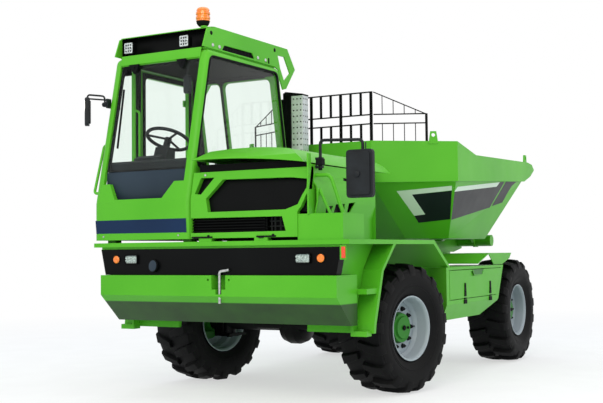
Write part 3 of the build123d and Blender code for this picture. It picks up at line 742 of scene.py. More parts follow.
roofLook = {  # side plates, their holes, and the visor over the lamps
    "x": (-1168, -239),
    "plate": [(-2152, 2888), (-2087, 3047), (-2018, 3074), (-756, 3082), (-620, 2914), (-788, 2711),
              (-852, 2694), (-914, 2800), (-932, 2868), (-1000, 2888)],
    "hole": [(-940, 3002), (-822, 3006), (-720, 2867), (-826, 2779), (-895, 2885)],
    "vent": [(-1831, 2945), (-1383, 2952), (-1348, 2904), (-1865, 2900)],
    "visor": [(-2062, 3058), (-2058, 3066), (-1980, 3080), (-760, 3090), (-756, 3080), (-1980, 3071)],
    "header": (2808, -2060, -1118, -284), "boss": (-306, -2035, 3069), "screwY": (-1114, -1098), "fins": 7,
    "boardY": -1960, "lampX": (-1045, -459), "lampY": -2096, "lampZ": 2960, "ledPitch": (24, 26), "top": 2880,
    "plateThick": 12, "slats": (-900, -740, -580), "louvres": range(-1850, -1350, 24),
    "lining": [(-2052, 3052), (-2050, 3059), (-1980, 3069), (-1960, 3069), (-1960, 3060), (-1980, 3060)],
    "bolts": [(-2008, 2919), (-1908, 2918), (-1293, 2922), (-1160, 2922)],
    "plugs": [(-2028, 3019), (-997, 3042)],
}


def buildRoof():
    top, thick = roofLook["top"], roofLook["plateThick"]
    left, right = roofLook["x"]
    inner = (left + thick, right - thick)
    pan = block(inner, (-2080, -980), (top, top + 13))
    plates = []
    for low in (left, right - thick):
        holes = [prismAlong("x", roofLook[key], low - 1, low + thick + 1) for key in ("hole", "vent")]
        plates.append(carve(prismAlong("x", roofLook["plate"], low, low + thick), holes))
    visor = prismAlong("x", roofLook["visor"], left, right)
    low, back, *span = roofLook["header"]
    high = top + 13
    header = prismAlong("x", [(frontY(low) - 9, low), (frontY(high) - 9, high), (back, high), (back, top + 1),
                              (frontY(top + 1) - 1, top + 1), (frontY(low) - 1, low)], *span)
    x, y, z = roofLook["boss"]
    boss = rod((x, y, z), (x, y, z + 11), 30)
    piece = makePiece("roof_frame", merged([pan, visor, header, boss] + plates), greenEnamel, bevelMm=2)
    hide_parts("cab_roof")
    boardY = roofLook["boardY"]
    board = block(inner, (boardY, boardY + 10), (top + 13, 3066))
    lining = prismAlong("x", roofLook["lining"], *inner)
    slats = [block((x, x + 18), (-2072, boardY), (top + 13, top + 27)) for x in roofLook["slats"]]
    cheeks = [block((x, x + 3), (-2060, boardY), (top + 20, 3058)) for x in (inner[0], inner[1] - 3)]
    makePiece("roof_lamp_recess", merged([board, lining] + slats + cheeks), blackEnamel, bevelMm=1)
    grid = [block((inner[1] + 2, inner[1] + 5), (y, y + 6), (2900, 2952)) for y in roofLook["louvres"]]
    backing = prismAlong("x", grown(roofLook["vent"], 8), inner[1] - 4, inner[1] - 0.5)
    makePiece("roof_vent_grid", merged(grid + [backing]), blackEnamel)
    bolts = bolted(17, 9, [(right, y, z) for y, z in roofLook["bolts"]], toRight)
    bolts += bolted(17, 9, [(left, y, z) for y, z in roofLook["bolts"]], toLeft)
    makePiece("roof_bolts", merged(bolts), zincSteel)
    plugs = bolted(18, 5, [(right, y, z) for y, z in roofLook["plugs"]], toRight)
    plugs.append(block((right - 1, right + 4), roofLook["screwY"], (2900, 2950)))
    makePiece("roof_plugs", merged(plugs), seamRubber)
    backs, lenses, leds = [], [], []
    lampY, lampZ = roofLook["lampY"], roofLook["lampZ"]
    ledX, ledZ = roofLook["ledPitch"]
    for x in roofLook["lampX"]:
        place = seat((x, lampY, lampZ), toFront)
        backs.append(moved(plate(48, 50, 10, 0, 16), place))
        for k in range(roofLook["fins"]):
            fin = x - 40 + k * 12.5
            backs.append(block((fin, fin + 4), (lampY, lampY + 50), (lampZ - 42, lampZ + 42)))
        backs.append(block((x - 30, x + 30), (lampY + 18, lampY + 30), (top + 13, lampZ - 35)))
        lenses.append(moved(plate(43, 45, 9, 15, 19), place))
        for row in (-1, 0, 1):
            for column in (-1, 0, 1):
                chip = seat((x + column * ledX, lampY - 19, lampZ + row * ledZ), toFront)
                leds.append(moved(lathe([(-1, 8), (1.5, 8), (2.5, 3)], 12), chip))
    piece = makePiece("work_lamp_bodies", merged(backs), blackEnamel, bevelMm=1)
    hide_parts("work_lamps")
    makePiece("work_lamp_lenses", merged(lenses), clearLens, bevelMm=1)
    makePiece("work_lamp_leds", merged(leds), castIron)


buildRoof()
print("roof built")


def arc(first, middle, last, steps=14):
    (ax, ay), (bx, by), (cx, cy) = first, middle, last  # points along the circle through the three
    d = 2 * (ax * (by - cy) + bx * (cy - ay) + cx * (ay - by))
    ux = ((ax * ax + ay * ay) * (by - cy) + (bx * bx + by * by) * (cy - ay)
          + (cx * cx + cy * cy) * (ay - by)) / d
    uy = ((ax * ax + ay * ay) * (cx - bx) + (bx * bx + by * by) * (ax - cx)
          + (cx * cx + cy * cy) * (bx - ax)) / d
    radius = math.hypot(ax - ux, ay - uy)
    start, middleAngle, end = (math.atan2(y - uy, x - ux) for x, y in (first, middle, last))
    sweep = (end - start) % (2 * math.pi)
    if (middleAngle - start) % (2 * math.pi) > sweep:
        sweep -= 2 * math.pi
    return [(ux + radius * math.cos(start + sweep * k / steps),
             uy + radius * math.sin(start + sweep * k / steps))
            for k in range(steps + 1)]


cowlLook = {  # millimetres: the engine housing's panel, what is cut into it, its flank and its lid
    "x": (-208, 866), "front": -2383, "foot": 1300, "top": 1827, "panel": 45, "rear": -573, "flankEnd": -1290,
    "grille": [(77, 1761), (692, 1752), (840, 1735), (841, 1667), (772, 1544), (663, 1508), (-43, 1506),
               (-61, 1612)],
    "quad": [(-132, 1782), (-4, 1780), (-115, 1648), (-175, 1654)],
    "slot": [(-204, 1461), (634, 1458), (666, 1346), (-204, 1343)],
    "outline": [(-208, 1300), (767, 1300), (767, 1490), (800, 1528), (866, 1655), (866, 1832), (-208, 1832)],
    "turn": [(900, -1290), (854, -1290), (530, -603), (560, -603), (600, -690)],
    "shelf": [(-208, -800), (560, -800), (520, -600), (-208, -600)],
    "hingeX": {"housing": (-98, 402), "lid": (-160, 340)}, "louvres": range(1352, 1456, 22),
    "padX": (-130, 385),
    "pipeX": (505, 535, 585), "pipeZ": (1384, 1424),
    "flank": [(866, 1846), (870, 1716), (900, 1668), (900, 1560), (870, 1440), (870, 1275)],
    "flankVents": [[(-2152, 1532), (-2040, 1538), (-2060, 1484), (-2140, 1480)],
                   [(-2000, 1551), (-1850, 1560), (-1834, 1490), (-2010, 1486)],
                   [(-1784, 1567), (-1669, 1578), (-1734, 1496), (-1784, 1494)],
                   [(-1812, 1770), (-1712, 1764), (-1712, 1740), (-1812, 1746)]],
    "hinge": (-823, 1990), "lidX": (-190, 834), "lidFront": -2391, "lidRear": -833, "sheet": 12,
    "brow": [(-2391, 1780), (-2391, 1926), (-2221, 2020), (-833, 2004), (-833, 1780)],
    "innerBrow": [(-2379, 1780), (-2379, 1914), (-2215, 2008), (-845, 1992), (-845, 1780)],
}


def cowlY(z):
    return cowlLook["front"] + cabLook["lean"] * max(0, z - cabLook["crease"])


def buildCowl():
    left, right = cowlLook["x"]
    front, foot, top, depth = (cowlLook[key] for key in ("front", "foot", "top", "panel"))
    rise, crease = cowlY(top), cabLook["crease"]
    profile = [(front, foot), (front, crease), (rise, top), (rise + 120, top + 4), (rise + 120, top - 8),
               (rise + depth, top - 12), (front + depth, crease), (front + depth, foot)]
    cutter = prismAlong("y", cowlLook["outline"], front - 1, front + 300)
    panel = within(prismAlong("x", profile, left, right), cutter)
    panel = carve(panel, [prismAlong("y", cowlLook[key], front - 5, front + 122)
                          for key in ("grille", "quad", "slot")])
    pads = [block((x, x + 120), (front, front + 60), (1275, foot)) for x in cowlLook["padX"]]
    section = cowlLook["flank"] + [(x - 12, z) for x, z in reversed(cowlLook["flank"])]
    vents = [prismAlong("x", corners, 780, 960) for corners in cowlLook["flankVents"]]
    swelling = carve(prismAlong("y", section, -2300, cowlLook["flankEnd"]), [merged(vents)])
    plain = block((right - 12, right), (front, -2250), (1464, 1846))
    post = block((right - 12, right), (front, front + 46), (1846, 1924))
    turn = prismAlong("z", cowlLook["turn"], 1275, 1846)
    rear = block((left, 560), (cowlLook["rear"] - 30, cowlLook["rear"]), (1275, 1975))
    shelf = prismAlong("z", cowlLook["shelf"], 1945, 1975)
    knuckles = []
    for x in cowlLook["hingeX"]["housing"]:
        wide = (x, x + 50)
        knuckles += [rod((x, *cowlLook["hinge"]), (x + 50, *cowlLook["hinge"]), 9, 12),
                     block(wide, (-825, -799), (1960, 1975)), block(wide, (-825, -817), (1972, 1984))]
    piece = makePiece("engine_housing",
                      merged([panel, swelling, plain, post, turn, rear, shelf] + pads + knuckles),
                      greenEnamel, bevelMm=2)
    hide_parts("cowl")
    near, far = front + depth, rise + depth  # the mesh sheet stands behind the panel, 10 mm thick
    main = prismAlong("x", [(near, 1490), (near, crease), (far, top - 12), (far + 10, top - 12),
                            (near + 10, crease), (near + 10, 1490)], -195, 853)
    lower = block((left + 4, 480), (front + 42, front + 48), (1330, 1475))
    slats = [prismAlong("x",
                        [(front + 20, z), (front + 44, z + 14), (front + 44, z + 18), (front + 20, z + 4)],
                        left + 4, 470) for z in cowlLook["louvres"]]
    behind = block((480, 760), (front + 90, front + 96), (1330, 1475))
    band = prismAlong("y", [(-190, top + 4), (760, top + 4), (800, 1846), (745, 1886), (-190, 1892)],
                      rise + 60, rise + 70)
    sidePanel = block((840, 850), (-2230, -1400), (1440, 1800))
    piece = makePiece("grille_meshes", merged([main, lower, behind, band, sidePanel] + slats), blackEnamel)
    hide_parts("grille")
    bars = [rod((x, front + 70, 1352), (x, front + 70, 1456), 7, 10) for x in cowlLook["pipeX"]]
    bars += [rod((490, front + 66, z), (650, front + 66, z), 6, 10) for z in cowlLook["pipeZ"]]
    makePiece("cooler_pipes", merged(bars), castIron)
    buildLid()


def buildLid():
    def section(depth):
        low, high = cowlLook["lidX"][0] + depth, cowlLook["lidX"][1] - depth
        crown = [(low, 1921), (-100 + depth, 1996 - depth)]
        crown += arc(crown[-1], (250, 2012 - depth), (590, 1988 - depth))[1:]
        crown += arc(crown[-1], (738 - depth / 2, 1944 - depth), (high, 1861))[1:]
        if depth:
            return crown + [(high, 1800), (low, 1800)]
        return crown + arc((high, 1861), (498, 1899), (low, 1921))[1:-1]
    front, rear, sheet = cowlLook["lidFront"], cowlLook["lidRear"], cowlLook["sheet"]
    outer = within(prismAlong("y", section(0), front, rear), prismAlong("x", cowlLook["brow"], -400, 1000))
    hollow = prismAlong("y", section(sheet), front + sheet, rear - sheet)
    inner = within(hollow, prismAlong("x", cowlLook["innerBrow"], -400, 1000))
    lid = carve(outer, [inner])
    hinge = cowlLook["hinge"]
    barrels = [rod((x, *hinge), (x + 60, *hinge), 12, 12) for x in cowlLook["hingeX"]["lid"]]
    piece = makePiece("lid_shell", merged([lid] + barrels), greenEnamel, "engine_lid", bevelMm=6,
                      smoothDeg=30)
    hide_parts("bonnet")


buildCowl()
print("cowl built")

guardLook = {"x": (-214, -94), "y": (-740, -632), "z": (2100, 2646), "hole": 8, "columns": 3, "rows": 10,
             "barrel": (-154, -684, 1992), "bands": (2140, 2380, 2600), "shield": (-745, -628)}


def perforate():
    x0, x1 = guardLook["x"]
    y0, y1 = guardLook["y"]
    z0, z1 = guardLook["z"]
    front, side = block((x0, x1), (y0, y0 + 3), (z0, z1)), block((x1 - 3, x1), (y0 + 3, y1), (z0, z1))
    frontCuts, sideCuts = [], []
    for row in range(guardLook["rows"]):
        z = z0 + 30 + row * (z1 - z0 - 60) / (guardLook["rows"] - 1)
        for column in range(guardLook["columns"]):
            x, y = x0 + 22 + column * 38, y0 + 20 + column * 34
            frontCuts.append(rod((x, y0 - 8, z), (x, y0 + 10, z), guardLook["hole"], 12))
            sideCuts.append(rod((x1 - 10, y, z), (x1 + 8, y, z), guardLook["hole"], 12))
    sheet = merged([carve(front, [merged(frontCuts)]), carve(side, [merged(sideCuts)])])
    piece = makePiece("silencer_guard", sheet, guardSheet)
    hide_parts("exhaust_guard")
    x, y, low = guardLook["barrel"]
    barrel = [rod((x, y, low), (x, y, z1 - 6), 44, 28), rod((x, y, low - 32), (x, y, low + 18), 26, 20),
              block((x0, x1), (y1 - 3, y1), (z0, z1)),
              block((x0 - 84, x0 - 4), (-752, -640), (2050, z1 + 30)),
              prismAlong("y", [(x0 - 84, z1 + 30), (x0 - 60, z1 + 44), (x1 + 2, z1 + 14), (x1 + 2, z1),
                               (x0 - 84, z1)], *guardLook["shield"])]
    barrel += [block((x0 - 60, x0 + 40), (-690, -670), (z, z + 12)) for z in guardLook["bands"]]
    piece = makePiece("silencer_barrel", merged(barrel), blackEnamel, bevelMm=1.5)
    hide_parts("exhaust")


perforate()
print("guard perforated")

fittings = {  # millimetres
    "headlamp": {"x": 808, "z": 1138, "y": -2373, "half": (69, 39), "rim": 8},
    "marker": {"x": 962, "z": 1138, "radius": 31},
    "beaconBase": [(3070, 15), (3116, 15), (3122, 34), (3136, 48), (3150, 55), (3166, 58)],
    "beaconDome": [(3166, 60), (3170, 61), (3172, 57), (3180, 57), (3186, 62), (3204, 62), (3210, 57),
                   (3218, 57), (3224, 62), (3242, 61), (3248, 55), (3256, 55), (3262, 57), (3276, 50),
                   (3284, 38), (3289, 18)], "beaconPlace": (-430, -1870, 0),
    "lampCells": 6, "lampCell": ((-9, 9), (-13, 13), (0, 3)),
    "reflectorStrip": ((1134, 1166), (-2384, -2376), (1138, 1222)),
    "reflectorPlate": ((1118, 1172), (-2376, -2370), (1126, 1234)),
    "latches": [(-195, 1), (410, 581)], "clamp": (903, -2260, 1863), "ridgeBolt": (-93, 1802),
    "nose": (-581, -2385, 1085), "noseWay": (-0.2, -0.95, 0.1),
}


def fitLamps():
    housings, reflectors, lenses, markers = [], [], [], []
    lamp, marked = fittings["headlamp"], fittings["marker"]
    across, high = lamp["half"]
    outline = [(-across, -high), (across, -high), (across, high), (-across, high)]
    inner, outer = rounded(grown(outline, -lamp["rim"]), 8, 4), rounded(outline, 12, 4)
    radius = marked["radius"]
    for side in (-1, 1):
        place = seat((side * lamp["x"], lamp["y"], lamp["z"]), toFront)
        housings.append(moved(frameOf(inner, outer, 0, 18), place))
        reflectors.append(moved(prism(inner, -4, 3), place))
        for k in range(fittings["lampCells"]):
            for row in (-1, 1):
                tilt = seat((-across + 18 + k * (2 * across - 36) / 5, row * 15, 4),
                            (0.12 * (-1) ** k, 0.2 * row, 1))
                reflectors.append(moved(moved(block(*fittings["lampCell"]), tilt), place))
        lenses.append(moved(prism(inner, 12, 15), place))
        marker = seat((side * marked["x"], lamp["y"], marked["z"]), toFront)
        housings.append(moved(lathe([(-2, radius + 5), (5, radius + 5), (9, radius)], 32), marker))
        markers.append(moved(lathe([(6, radius), (12, radius), (17, radius * 0.85), (19, radius * 0.4)], 32),
                             marker))
    piece = makePiece("headlamp_housings", merged(housings), blackEnamel)
    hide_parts("lamps")
    makePiece("headlamp_reflectors", merged(reflectors), clearLens, bevelMm=1)
    makePiece("headlamp_lenses", merged(lenses), glass, slot="lamp_face")
    makePiece("marker_lenses", merged(markers), amberLens)
    centre = seat(fittings["beaconPlace"])
    piece = makePiece("beacon_dome", moved(lathe(fittings["beaconDome"], 40), centre), amberLens)
    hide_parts("beacon")
    makePiece("beacon_base", moved(lathe(fittings["beaconBase"], 40), centre), seamRubber)
    makePiece("corner_reflector", block(*fittings["reflectorStrip"]), redLens, bevelMm=2)
    makePiece("reflector_plate", block(*fittings["reflectorPlate"]), greenEnamel, bevelMm=2)
    x, y, z = fittings["nose"]
    aimed = seat((x, y, z), fittings["noseWay"])
    body = moved(lathe([(-34, 22), (-26, 40), (-4, 52), (6, 52)], 32), aimed)
    stalk = merged([pipe([(x, y + 20, z - 10), (x, y + 40, z - 40), (x, y + 40, 1008)], 9, 10),
                    block((x - 35, x + 35), (y + 18, y + 68), (1008, 1014))])
    makePiece("nose_lamp_body", merged([body, stalk]), seamRubber)
    makePiece("nose_lamp_lens", moved(lathe([(5, 46), (8, 44), (11, 20)], 32), aimed), slateEnamel,
              slot="lamp_face")


mirrorLook = {  # millimetres: where each head hangs, which way it looks, and the bars that carry it
    "leftHead": (-1334, -2340, 2401), "leftWay": (0.8, 0.6, 0.0), "leftRise": 150, "bendMm": 26,
    "rightHead": (1260, -2282, 1757), "rightPost": 903, "rightBarY": -2258, "lugHeights": (1816, 1880),
}


def hangMirror():
    x, y, z = mirrorLook["leftHead"]
    top = z + mirrorLook["leftRise"]
    place = seat((x, y, z), mirrorLook["leftWay"])
    shell = moved(merged([plate(48, 118, 26, 0, 34, 6), plate(34, 98, 22, 33, 46, 6)]), place)
    ball = lathe([(-22, 14), (-16, 20), (0, 22), (16, 20), (22, 14)], 16)
    arms = [pipe([(-1186, -2195, 2455), (-1225, -2210, 2470), (-1225, -2215, top - 6), (-1318, -2328, top),
                  (-1318, -2330, z + 60)], 8, 10, mirrorLook["bendMm"]),
            pipe([(-1186, -2190, 2500), (-1205, -2200, 2510), (-1205, -2200, top - 40),
                  (-1300, -2318, top - 36)], 7, 10, 20)]
    foot = [block((-1204, -1186), (-2222, -2172), (2440, 2520)), moved(ball, seat((-1318, -2330, z + 105))),
            moved(ball, seat((-1225, -2211, 2472), toRight))]
    piece = makePiece("left_mirror_head", merged([shell] + arms + foot), grainedPlastic, bevelMm=1.5)
    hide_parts("left_mirror")
    makePiece("left_mirror_face", moved(plate(42, 111, 22, -3, 1, 6), place), hardChrome)


def hangRightMirror():
    (x, headY, z), y, post = mirrorLook["rightHead"], mirrorLook["rightBarY"], mirrorLook["rightPost"]
    place = seat((x, headY, z), toFront)
    arms = [pipe([(post, y, 1800), (post, y, 2028), (x, y, 2012), (x, y, 1775), (x, y - 24, 1755)], 12, 12,
                 36),
            pipe([(x + 24, y, 1990), (x + 24, y, 1830), (x + 2, y - 22, 1800)], 5, 8, 20)]
    head = moved(plate(108, 178, 30, 0, 42, 6), place)
    bulge = moved(plate(88, 158, 26, 41, 52, 6), place)
    boss = moved(lathe([(50, 26), (60, 24), (64, 16)], 20), seat((x - 14, headY, z - 5), toFront))
    lugs = [block((866, 925), (y - 16, y + 16), (low, low + 18)) for low in mirrorLook["lugHeights"]]
    piece = makePiece("right_mirror_head", merged([head, bulge, boss] + arms + lugs), grainedPlastic,
                      bevelMm=1.5)
    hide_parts("mirrors")
    makePiece("right_mirror_face", moved(plate(100, 170, 26, -3, 1, 6), place), hardChrome)


# millimetres: the wiper by x, height and how far off the screen, then what is round and behind it
screenLook = {
    "wiperBars": [([(-1050, 2747, 10), (-1073, 2560, 26), (-1038, 2412, 30)], 6, 8, 30),
                  ([(-1058, 2740, 8), (-1082, 2560, 22), (-1044, 2420, 28)], 4, 8, 30),
                  ([(-1035, 2587, 16), (-1014, 2074, 14)], 9, 6),
                  ([(-1035, 2587, 9), (-1014, 2074, 7)], 4, 6)],
    "motor": (-1050, 2747), "bracketZ": (2806, 2780), "bracketX": (-968, -470), "footBoltX": (-1088, -321),
    "brackets": [[(-1023, 2806), (-916, 2806), (-948, 2730), (-962, 2722), (-974, 2730)],
                 [(-521, 2806), (-424, 2806), (-452, 2732), (-464, 2724), (-476, 2732)]],
    "clear": [(-1081, 1885), (-306, 1885), (-306, 2775), (-1081, 2775)],
    "dash": [(-2288, 1700), (-2288, 1944), (-2262, 1962), (-2180, 1950), (-2170, 1700)],
    "pod": [(-2225, 1700), (-2225, 1985), (-2165, 2010), (-2120, 1960), (-2110, 1700)],
    "handle": [(-1148, -1880, 1960), (-1110, -1880, 1975), (-1110, -1880, 2435), (-1148, -1880, 2450)],
}


def dressScreen():
    def on(x, z, off):
        return (x, frontY(z) - off, z)
    arm = [pipe([on(*point) for point in points], *sizes) for points, *sizes in screenLook["wiperBars"]]
    motor = [rod(on(*screenLook["motor"], -10), on(*screenLook["motor"], 16), 22, 16),
             block((-1085, -1015), (-2122, -2102), (2720, 2800))]
    high, low = screenLook["bracketZ"]
    brackets = [prismAlong("y", corners, frontY(high) - 16, frontY(high) + 8)
                for corners in screenLook["brackets"]]
    brackets += [rod(on(x, low, 20), on(x, low, -10), 13, 12) for x in screenLook["bracketX"]]
    makePiece("screen_wiper", merged(arm + motor + brackets), seamRubber)
    band = carve(cabBody(20), [cabBody(23)])
    band = within(band, prismAlong("y", grown(cabLook["screen"], -2), *frontWall))
    band = within(band, block((-2000, 0), (-2600, -1900), (cabLook["sill"], 2900)))
    band = carve(band, [prismAlong("y", rounded(screenLook["clear"], 50, 5), -2600, -1900)])
    makePiece("screen_border", band, seamRubber)
    edge = carve(cabBody(-3), [cabBody(16)])
    seal = within(edge, prismAlong("x", rounded(grown(cabLook["side"], 1), 76), *rightWall))
    seal = carve(seal, [prismAlong("x", rounded(grown(cabLook["side"], -16), 62), -400, -100)])
    makePiece("side_window_seal", seal, seamRubber)
    dash = prismAlong("x", screenLook["dash"], -1119, -291)
    pod = prismAlong("x", screenLook["pod"], -900, -640)
    display = merged([moved(plate(42, 74, 26, 0, 34), seat((-470, -2070, 2600), (0.35, 0.9, 0))),
                      pipe([(-470, -2060, 2660), (-450, -2040, 2834)], 9, 10)])
    makePiece("dash_top", merged([dash, pod, display]), grainedPlastic, bevelMm=3)
    makePiece("door_grab_handle", pipe(screenLook["handle"], 11, 10, 30), greenEnamel)
    bolts = bolted(9, 6, [(x, cabLook["front"], 1329) for x in screenLook["footBoltX"]], toFront)
    makePiece("cab_foot_bolts", merged(bolts), zincSteel)


def dressCowl():
    clips, front, foot = [], cowlLook["front"], cowlLook["foot"]
    for low, high in fittings["latches"]:
        clips += [block((low, high), (front - 9, front + 7), (foot + 2, foot + 14)),
                  block((low + 20, low + 60), (front - 13, front + 3), (foot - 4, foot + 6))]
    clips += bolted(13, 8, [((low + high) / 2 + 60, front, foot + 14) for low, high in fittings["latches"]],
                    toFront)
    makePiece("cowl_latches", merged(clips), seamRubber, bevelMm=1)
    x, y, z = fittings["clamp"]
    clamp = [block((x - 27, x + 27), (y - 25, y + 25), (z - 25, z + 25)),
             rod((x, y, z - 63), (x, y, z + 37), 16, 12)]
    makePiece("mirror_clamp", merged(clamp), seamRubber, bevelMm=2)
    x, z = fittings["ridgeBolt"]
    makePiece("cowl_ridge_bolt", merged(bolted(11, 7, [(x, cowlY(z), z)], (0, -0.975, 0.22))), zincSteel)


toolboxLook = {  # millimetres: outlines across y and z on the lid's face, which lies near x 1201
    "straps": (-17, 680), "hingeZ": 739, "boltZ": (800, 850),
    "pull": [(190, 1000), (190, 980), (230, 946), (450, 946), (492, 980), (492, 1000)],
    "rim": [(186, 1000), (228, 942), (452, 942), (496, 1000), (488, 1000), (449, 949), (231, 949),
            (194, 1000)],
}


def dressToolbox():
    straps, blocks = [], []
    z = toolboxLook["hingeZ"]
    for y in toolboxLook["straps"]:
        outline = [(y - 26, z + 19), (y + 26, z + 19), (y + 15, z + 141), (y - 15, z + 141)]
        straps.append(prismAlong("x", outline, 1201, 1208))
        straps += bolted(7, 5, [(1208, y, height) for height in toolboxLook["boltZ"]], toRight)
        blocks.append(rod((1205, y - 30, z), (1205, y + 30, z), 6, 12))
        blocks.append(block((1198, 1210), (y - 34, y + 34), (z - 49, z - 11)))
    makePiece("toolbox_hinge_straps", merged(straps), seamRubber, "toolbox_lid", bevelMm=1)
    makePiece("toolbox_hinge_blocks", merged(blocks), seamRubber, bevelMm=1)
    # the pull's plate in the darker green is painted shade for the recess under the lid's top edge
    makePiece("toolbox_pull", prismAlong("x", rounded(toolboxLook["pull"], 8), 1202, 1204), shadeGreenEnamel,
              "toolbox_lid")
    makePiece("toolbox_pull_rim", prismAlong("x", toolboxLook["rim"], 1202, 1206), greenEnamel, "toolbox_lid")


fitLamps()
hangMirror()
hangRightMirror()
dressScreen()
dressCowl()
dressToolbox()
print("fittings hung")

seatLook = {"x": (-890, -470), "y": (-1530, -1030), "z": 1338, "cushionZ": 1760, "backTop": 2110,
            "frames": 18, "pressure": 4.0, "reachMm": 24, "voxelMm": 6, "insetMm": 8, "cornerMm": 45,
            "foamMm": 110, "backY": (-75, 26)}


def puff(name, x, y, z):
    # foam under cloth: a rounded block is remeshed fine and blown up, no vertex going beyond its reach
    (left, right), (front, rear), (low, high) = ((a + seatLook["insetMm"], b - seatLook["insetMm"]) for a,
                                                 b in (x, y, z))
    outline = rounded([(left, front), (right, front), (right, rear), (left, rear)], seatLook["cornerMm"])
    verts, faces = prism(outline, low, high)
    mesh = bpy.data.meshes.new(name)
    mesh.from_pydata([(a / 1000, b / 1000, c / 1000) for a, b, c in verts], [], faces)
    piece = newObject(name, mesh)
    remesh = piece.modifiers.new("fine", "REMESH")
    remesh.mode = "VOXEL"
    remesh.voxel_size = seatLook["voxelMm"] / 1000
    view = bpy.context.evaluated_depsgraph_get()
    view.update()
    fine = bpy.data.meshes.new_from_object(piece.evaluated_get(view))
    piece.modifiers.clear()
    piece.data = fine
    fine.name = name
    rest = [vert.co.copy() for vert in fine.vertices]
    blow = piece.modifiers.new("blow", "CLOTH")
    blow.settings.use_pressure = True
    blow.settings.uniform_pressure_force = seatLook["pressure"]
    blow.settings.effector_weights.gravity = 0
    blow.point_cache.frame_start, blow.point_cache.frame_end = 1, seatLook["frames"]
    for number in range(1, seatLook["frames"] + 1):
        bpy.context.scene.frame_set(number)
    view = bpy.context.evaluated_depsgraph_get()
    blown = bpy.data.meshes.new_from_object(piece.evaluated_get(view))
    piece.modifiers.clear()
    limit = seatLook["reachMm"] / 1000
    for vert, start, end in zip(fine.vertices, rest, blown.vertices):
        step = end.co - start
        vert.co = start + step * min(1.0, limit / max(step.length, 1e-9))
    bpy.data.meshes.remove(blown)
    bpy.context.scene.frame_set(1)
    fine.materials.clear()
    fine.materials.append(cloth)
    fine.polygons.foreach_set("use_smooth", [True] * len(fine.polygons))
    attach(piece, "chassis")
    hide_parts("seat")


def placeSeat():
    (x0, x1), (y0, y1), floor, top = seatLook["x"], seatLook["y"], seatLook["z"], seatLook["cushionZ"]
    under, backTop = top - seatLook["foamMm"], seatLook["backTop"]
    base = [block((x0 + 60, x1 - 60), (y0 + 70, y1 - 70), (floor, floor + 40)),
            block((x0 + 100, x1 - 100), (y0 + 110, y1 - 110), (floor + 39, under - 40)),
            block((x0 + 20, x1 - 20), (y0 + 20, y1 + 40), (under - 41, under + 2)),
            block((x0 + 20, x1 - 20), (y1 + 25, y1 + 55), (under, backTop - 30))]
    piece = makePiece("seat_base", merged(base), grainedPlastic, bevelMm=6)
    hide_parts("seat")
    puff("seat_cushion", (x0, x1), (y0, y1 - 60), (under, top))
    puff("seat_back", (x0 + 10, x1 - 10), [y1 + step for step in seatLook["backY"]], (top - 20, backTop))


placeSeat()
print("seat made")

studio = {"lensMm": 61.9, "place": (4.599, -9.140, 1.1945), "azimuthDeg": 29.31, "pitchDeg": 2.72,
          "rollDeg": -0.639}


def aimCamera():
    data = bpy.data.cameras.new("studioCamera")
    data.sensor_width = 36
    data.lens = studio["lensMm"]
    data.clip_end = 200
    camera = newObject("studioCamera", data)
    azimuth, pitch, roll = (math.radians(studio[key]) for key in ("azimuthDeg", "pitchDeg", "rollDeg"))
    forward = Vector((-math.sin(azimuth) * math.cos(pitch), math.cos(azimuth) * math.cos(pitch),
                      math.sin(pitch)))
    side = Vector((math.cos(azimuth), math.sin(azimuth), 0))
    up = side.cross(forward)
    across = side * math.cos(roll) + up * math.sin(roll)
    above = up * math.cos(roll) - side * math.sin(roll)
    turn = Matrix((across, above, -forward)).transposed().to_4x4()
    camera.matrix_world = Matrix.Translation(studio["place"]) @ turn
    bpy.context.scene.camera = camera


def backdropRay(tree):
    path = addNode(tree, "ShaderNodeLightPath")  # 1 for what the lens, a gloss or a clear pane sees directly
    gloss = addNode(tree, "ShaderNodeMath", {"operation": "MAXIMUM"},
                    {0: path.outputs["Is Camera Ray"], 1: path.outputs["Is Glossy Ray"]})
    clear = addNode(tree, "ShaderNodeMath", {"operation": "MAXIMUM"},
                    {0: gloss.outputs["Value"], 1: path.outputs["Is Transmission Ray"]})
    return clear.outputs["Value"]


floorLook = {"halfSize": 70, "shadowShare": 0.42, "nearRadius": 4.5, "farRadius": 11.0,
             "paper": "#F2F2F2", "paperLight": "#F6F6F6", "bounce": "#DCE8E2"}


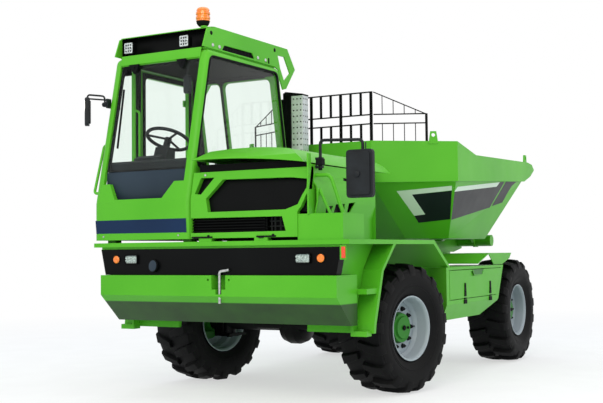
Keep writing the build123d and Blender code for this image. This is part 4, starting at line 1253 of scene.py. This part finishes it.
def pourFloor():
    # matt studio paper: white to the lens with the machine's shadow on it, a quiet grey to bounced light
    mesh = bpy.data.meshes.new("studioFloor")
    size = floorLook["halfSize"]
    mesh.from_pydata([(-size, -size, 0), (size, -size, 0), (size, size, 0), (-size, size, 0)], [],
                     [(0, 1, 2, 3)])
    floor = newObject("studioFloor", mesh)
    material, tree, place = startMaterial("floorPaper")
    grain = addNode(tree, "ShaderNodeTexNoise", {"Scale": 2.0, "Detail": 2.0}, {"Vector": place})
    tone = addNode(tree, "ShaderNodeValToRGB",
                   {"stops": [(0.4, floorLook["paper"]), (0.6, floorLook["paperLight"])]},
                   {"Fac": grain.outputs["Fac"]})
    lit = addNode(tree, "ShaderNodeBsdfDiffuse", {}, {"Color": tone.outputs["Color"]})
    white = addNode(tree, "ShaderNodeEmission", {"Color": (1, 1, 1, 1), "Strength": 1.0})
    reach = addNode(tree, "ShaderNodeVectorMath", {"operation": "LENGTH"}, {0: place})
    share = addNode(tree, "ShaderNodeMapRange",
                    {"From Min": floorLook["nearRadius"], "From Max": floorLook["farRadius"],
                     "To Min": 1 - floorLook["shadowShare"], "To Max": 1.0},
                     {"Value": reach.outputs["Value"]})
    seen = addNode(tree, "ShaderNodeMixShader", {}, {0: share.outputs["Result"], 1: lit.outputs["BSDF"],
                                                     2: white.outputs["Emission"]})
    bounce = addNode(tree, "ShaderNodeBsdfDiffuse", {"Color": hexToLinear(floorLook["bounce"])})
    mix = addNode(tree, "ShaderNodeMixShader", {}, {0: backdropRay(tree), 1: bounce.outputs["BSDF"],
                                                    2: seen.outputs["Shader"]})
    closeMaterial(tree, mix.outputs["Shader"])
    mesh.materials.append(material)


lampLook = [  # name, place, target, watts, size, colour
    ("frontSoftbox", (2.5, -8.5, 5.5), (0, -0.5, 1.3), 330, (6, 4), "#FFF6E0"),
    ("rightSoftbox", (9.0, 2.0, 4.5), (0, 0.5, 1.2), 110, (5, 4), "#FFF8EC"),
    ("topSoftbox", (0, 0.0, 8.5), (0, 0, 0), 170, (8, 8), "#FFFFFF"),
]


def hangLamps():
    for name, place, target, power, size, colour in lampLook:
        data = bpy.data.lights.new(name, "AREA")
        data.shape = "RECTANGLE"
        data.size, data.size_y = size
        data.energy = power
        data.color = hexToLinear(colour)[:3]
        lamp = newObject(name, data)
        lamp.location = place
        lamp.rotation_mode = "QUATERNION"
        lamp.rotation_quaternion = (Vector(target) - Vector(place)).to_track_quat("-Z", "Y")


skyLook = {"top": "#F0F6FF", "horizon": "#D8EAEE", "strength": 0.95}


def lightWorld():
    world = bpy.data.worlds.new("studioWorld")
    bpy.context.scene.world = world
    world.use_nodes = True
    tree = world.node_tree
    tree.nodes.clear()
    place = addNode(tree, "ShaderNodeTexCoord")
    split = addNode(tree, "ShaderNodeSeparateXYZ", {}, {"Vector": place.outputs["Generated"]})
    tone = addNode(tree, "ShaderNodeValToRGB", {"stops": [(0.0, skyLook["horizon"]), (0.7, skyLook["top"])]},
                   {"Fac": split.outputs["Z"]})
    ambient = addNode(tree, "ShaderNodeBackground", {"Strength": skyLook["strength"]},
                      {"Color": tone.outputs["Color"]})
    white = addNode(tree, "ShaderNodeBackground", {"Color": (1, 1, 1, 1), "Strength": 1.0})
    mix = addNode(tree, "ShaderNodeMixShader", {}, {0: backdropRay(tree), 1: ambient.outputs["Background"],
                                                    2: white.outputs["Background"]})
    addNode(tree, "ShaderNodeOutputWorld", {}, {"Surface": mix.outputs["Shader"]})


aimCamera()
pourFloor()
hangLamps()
lightWorld()
bpy.context.scene.view_settings.view_transform = "Standard"
print("studio lit")
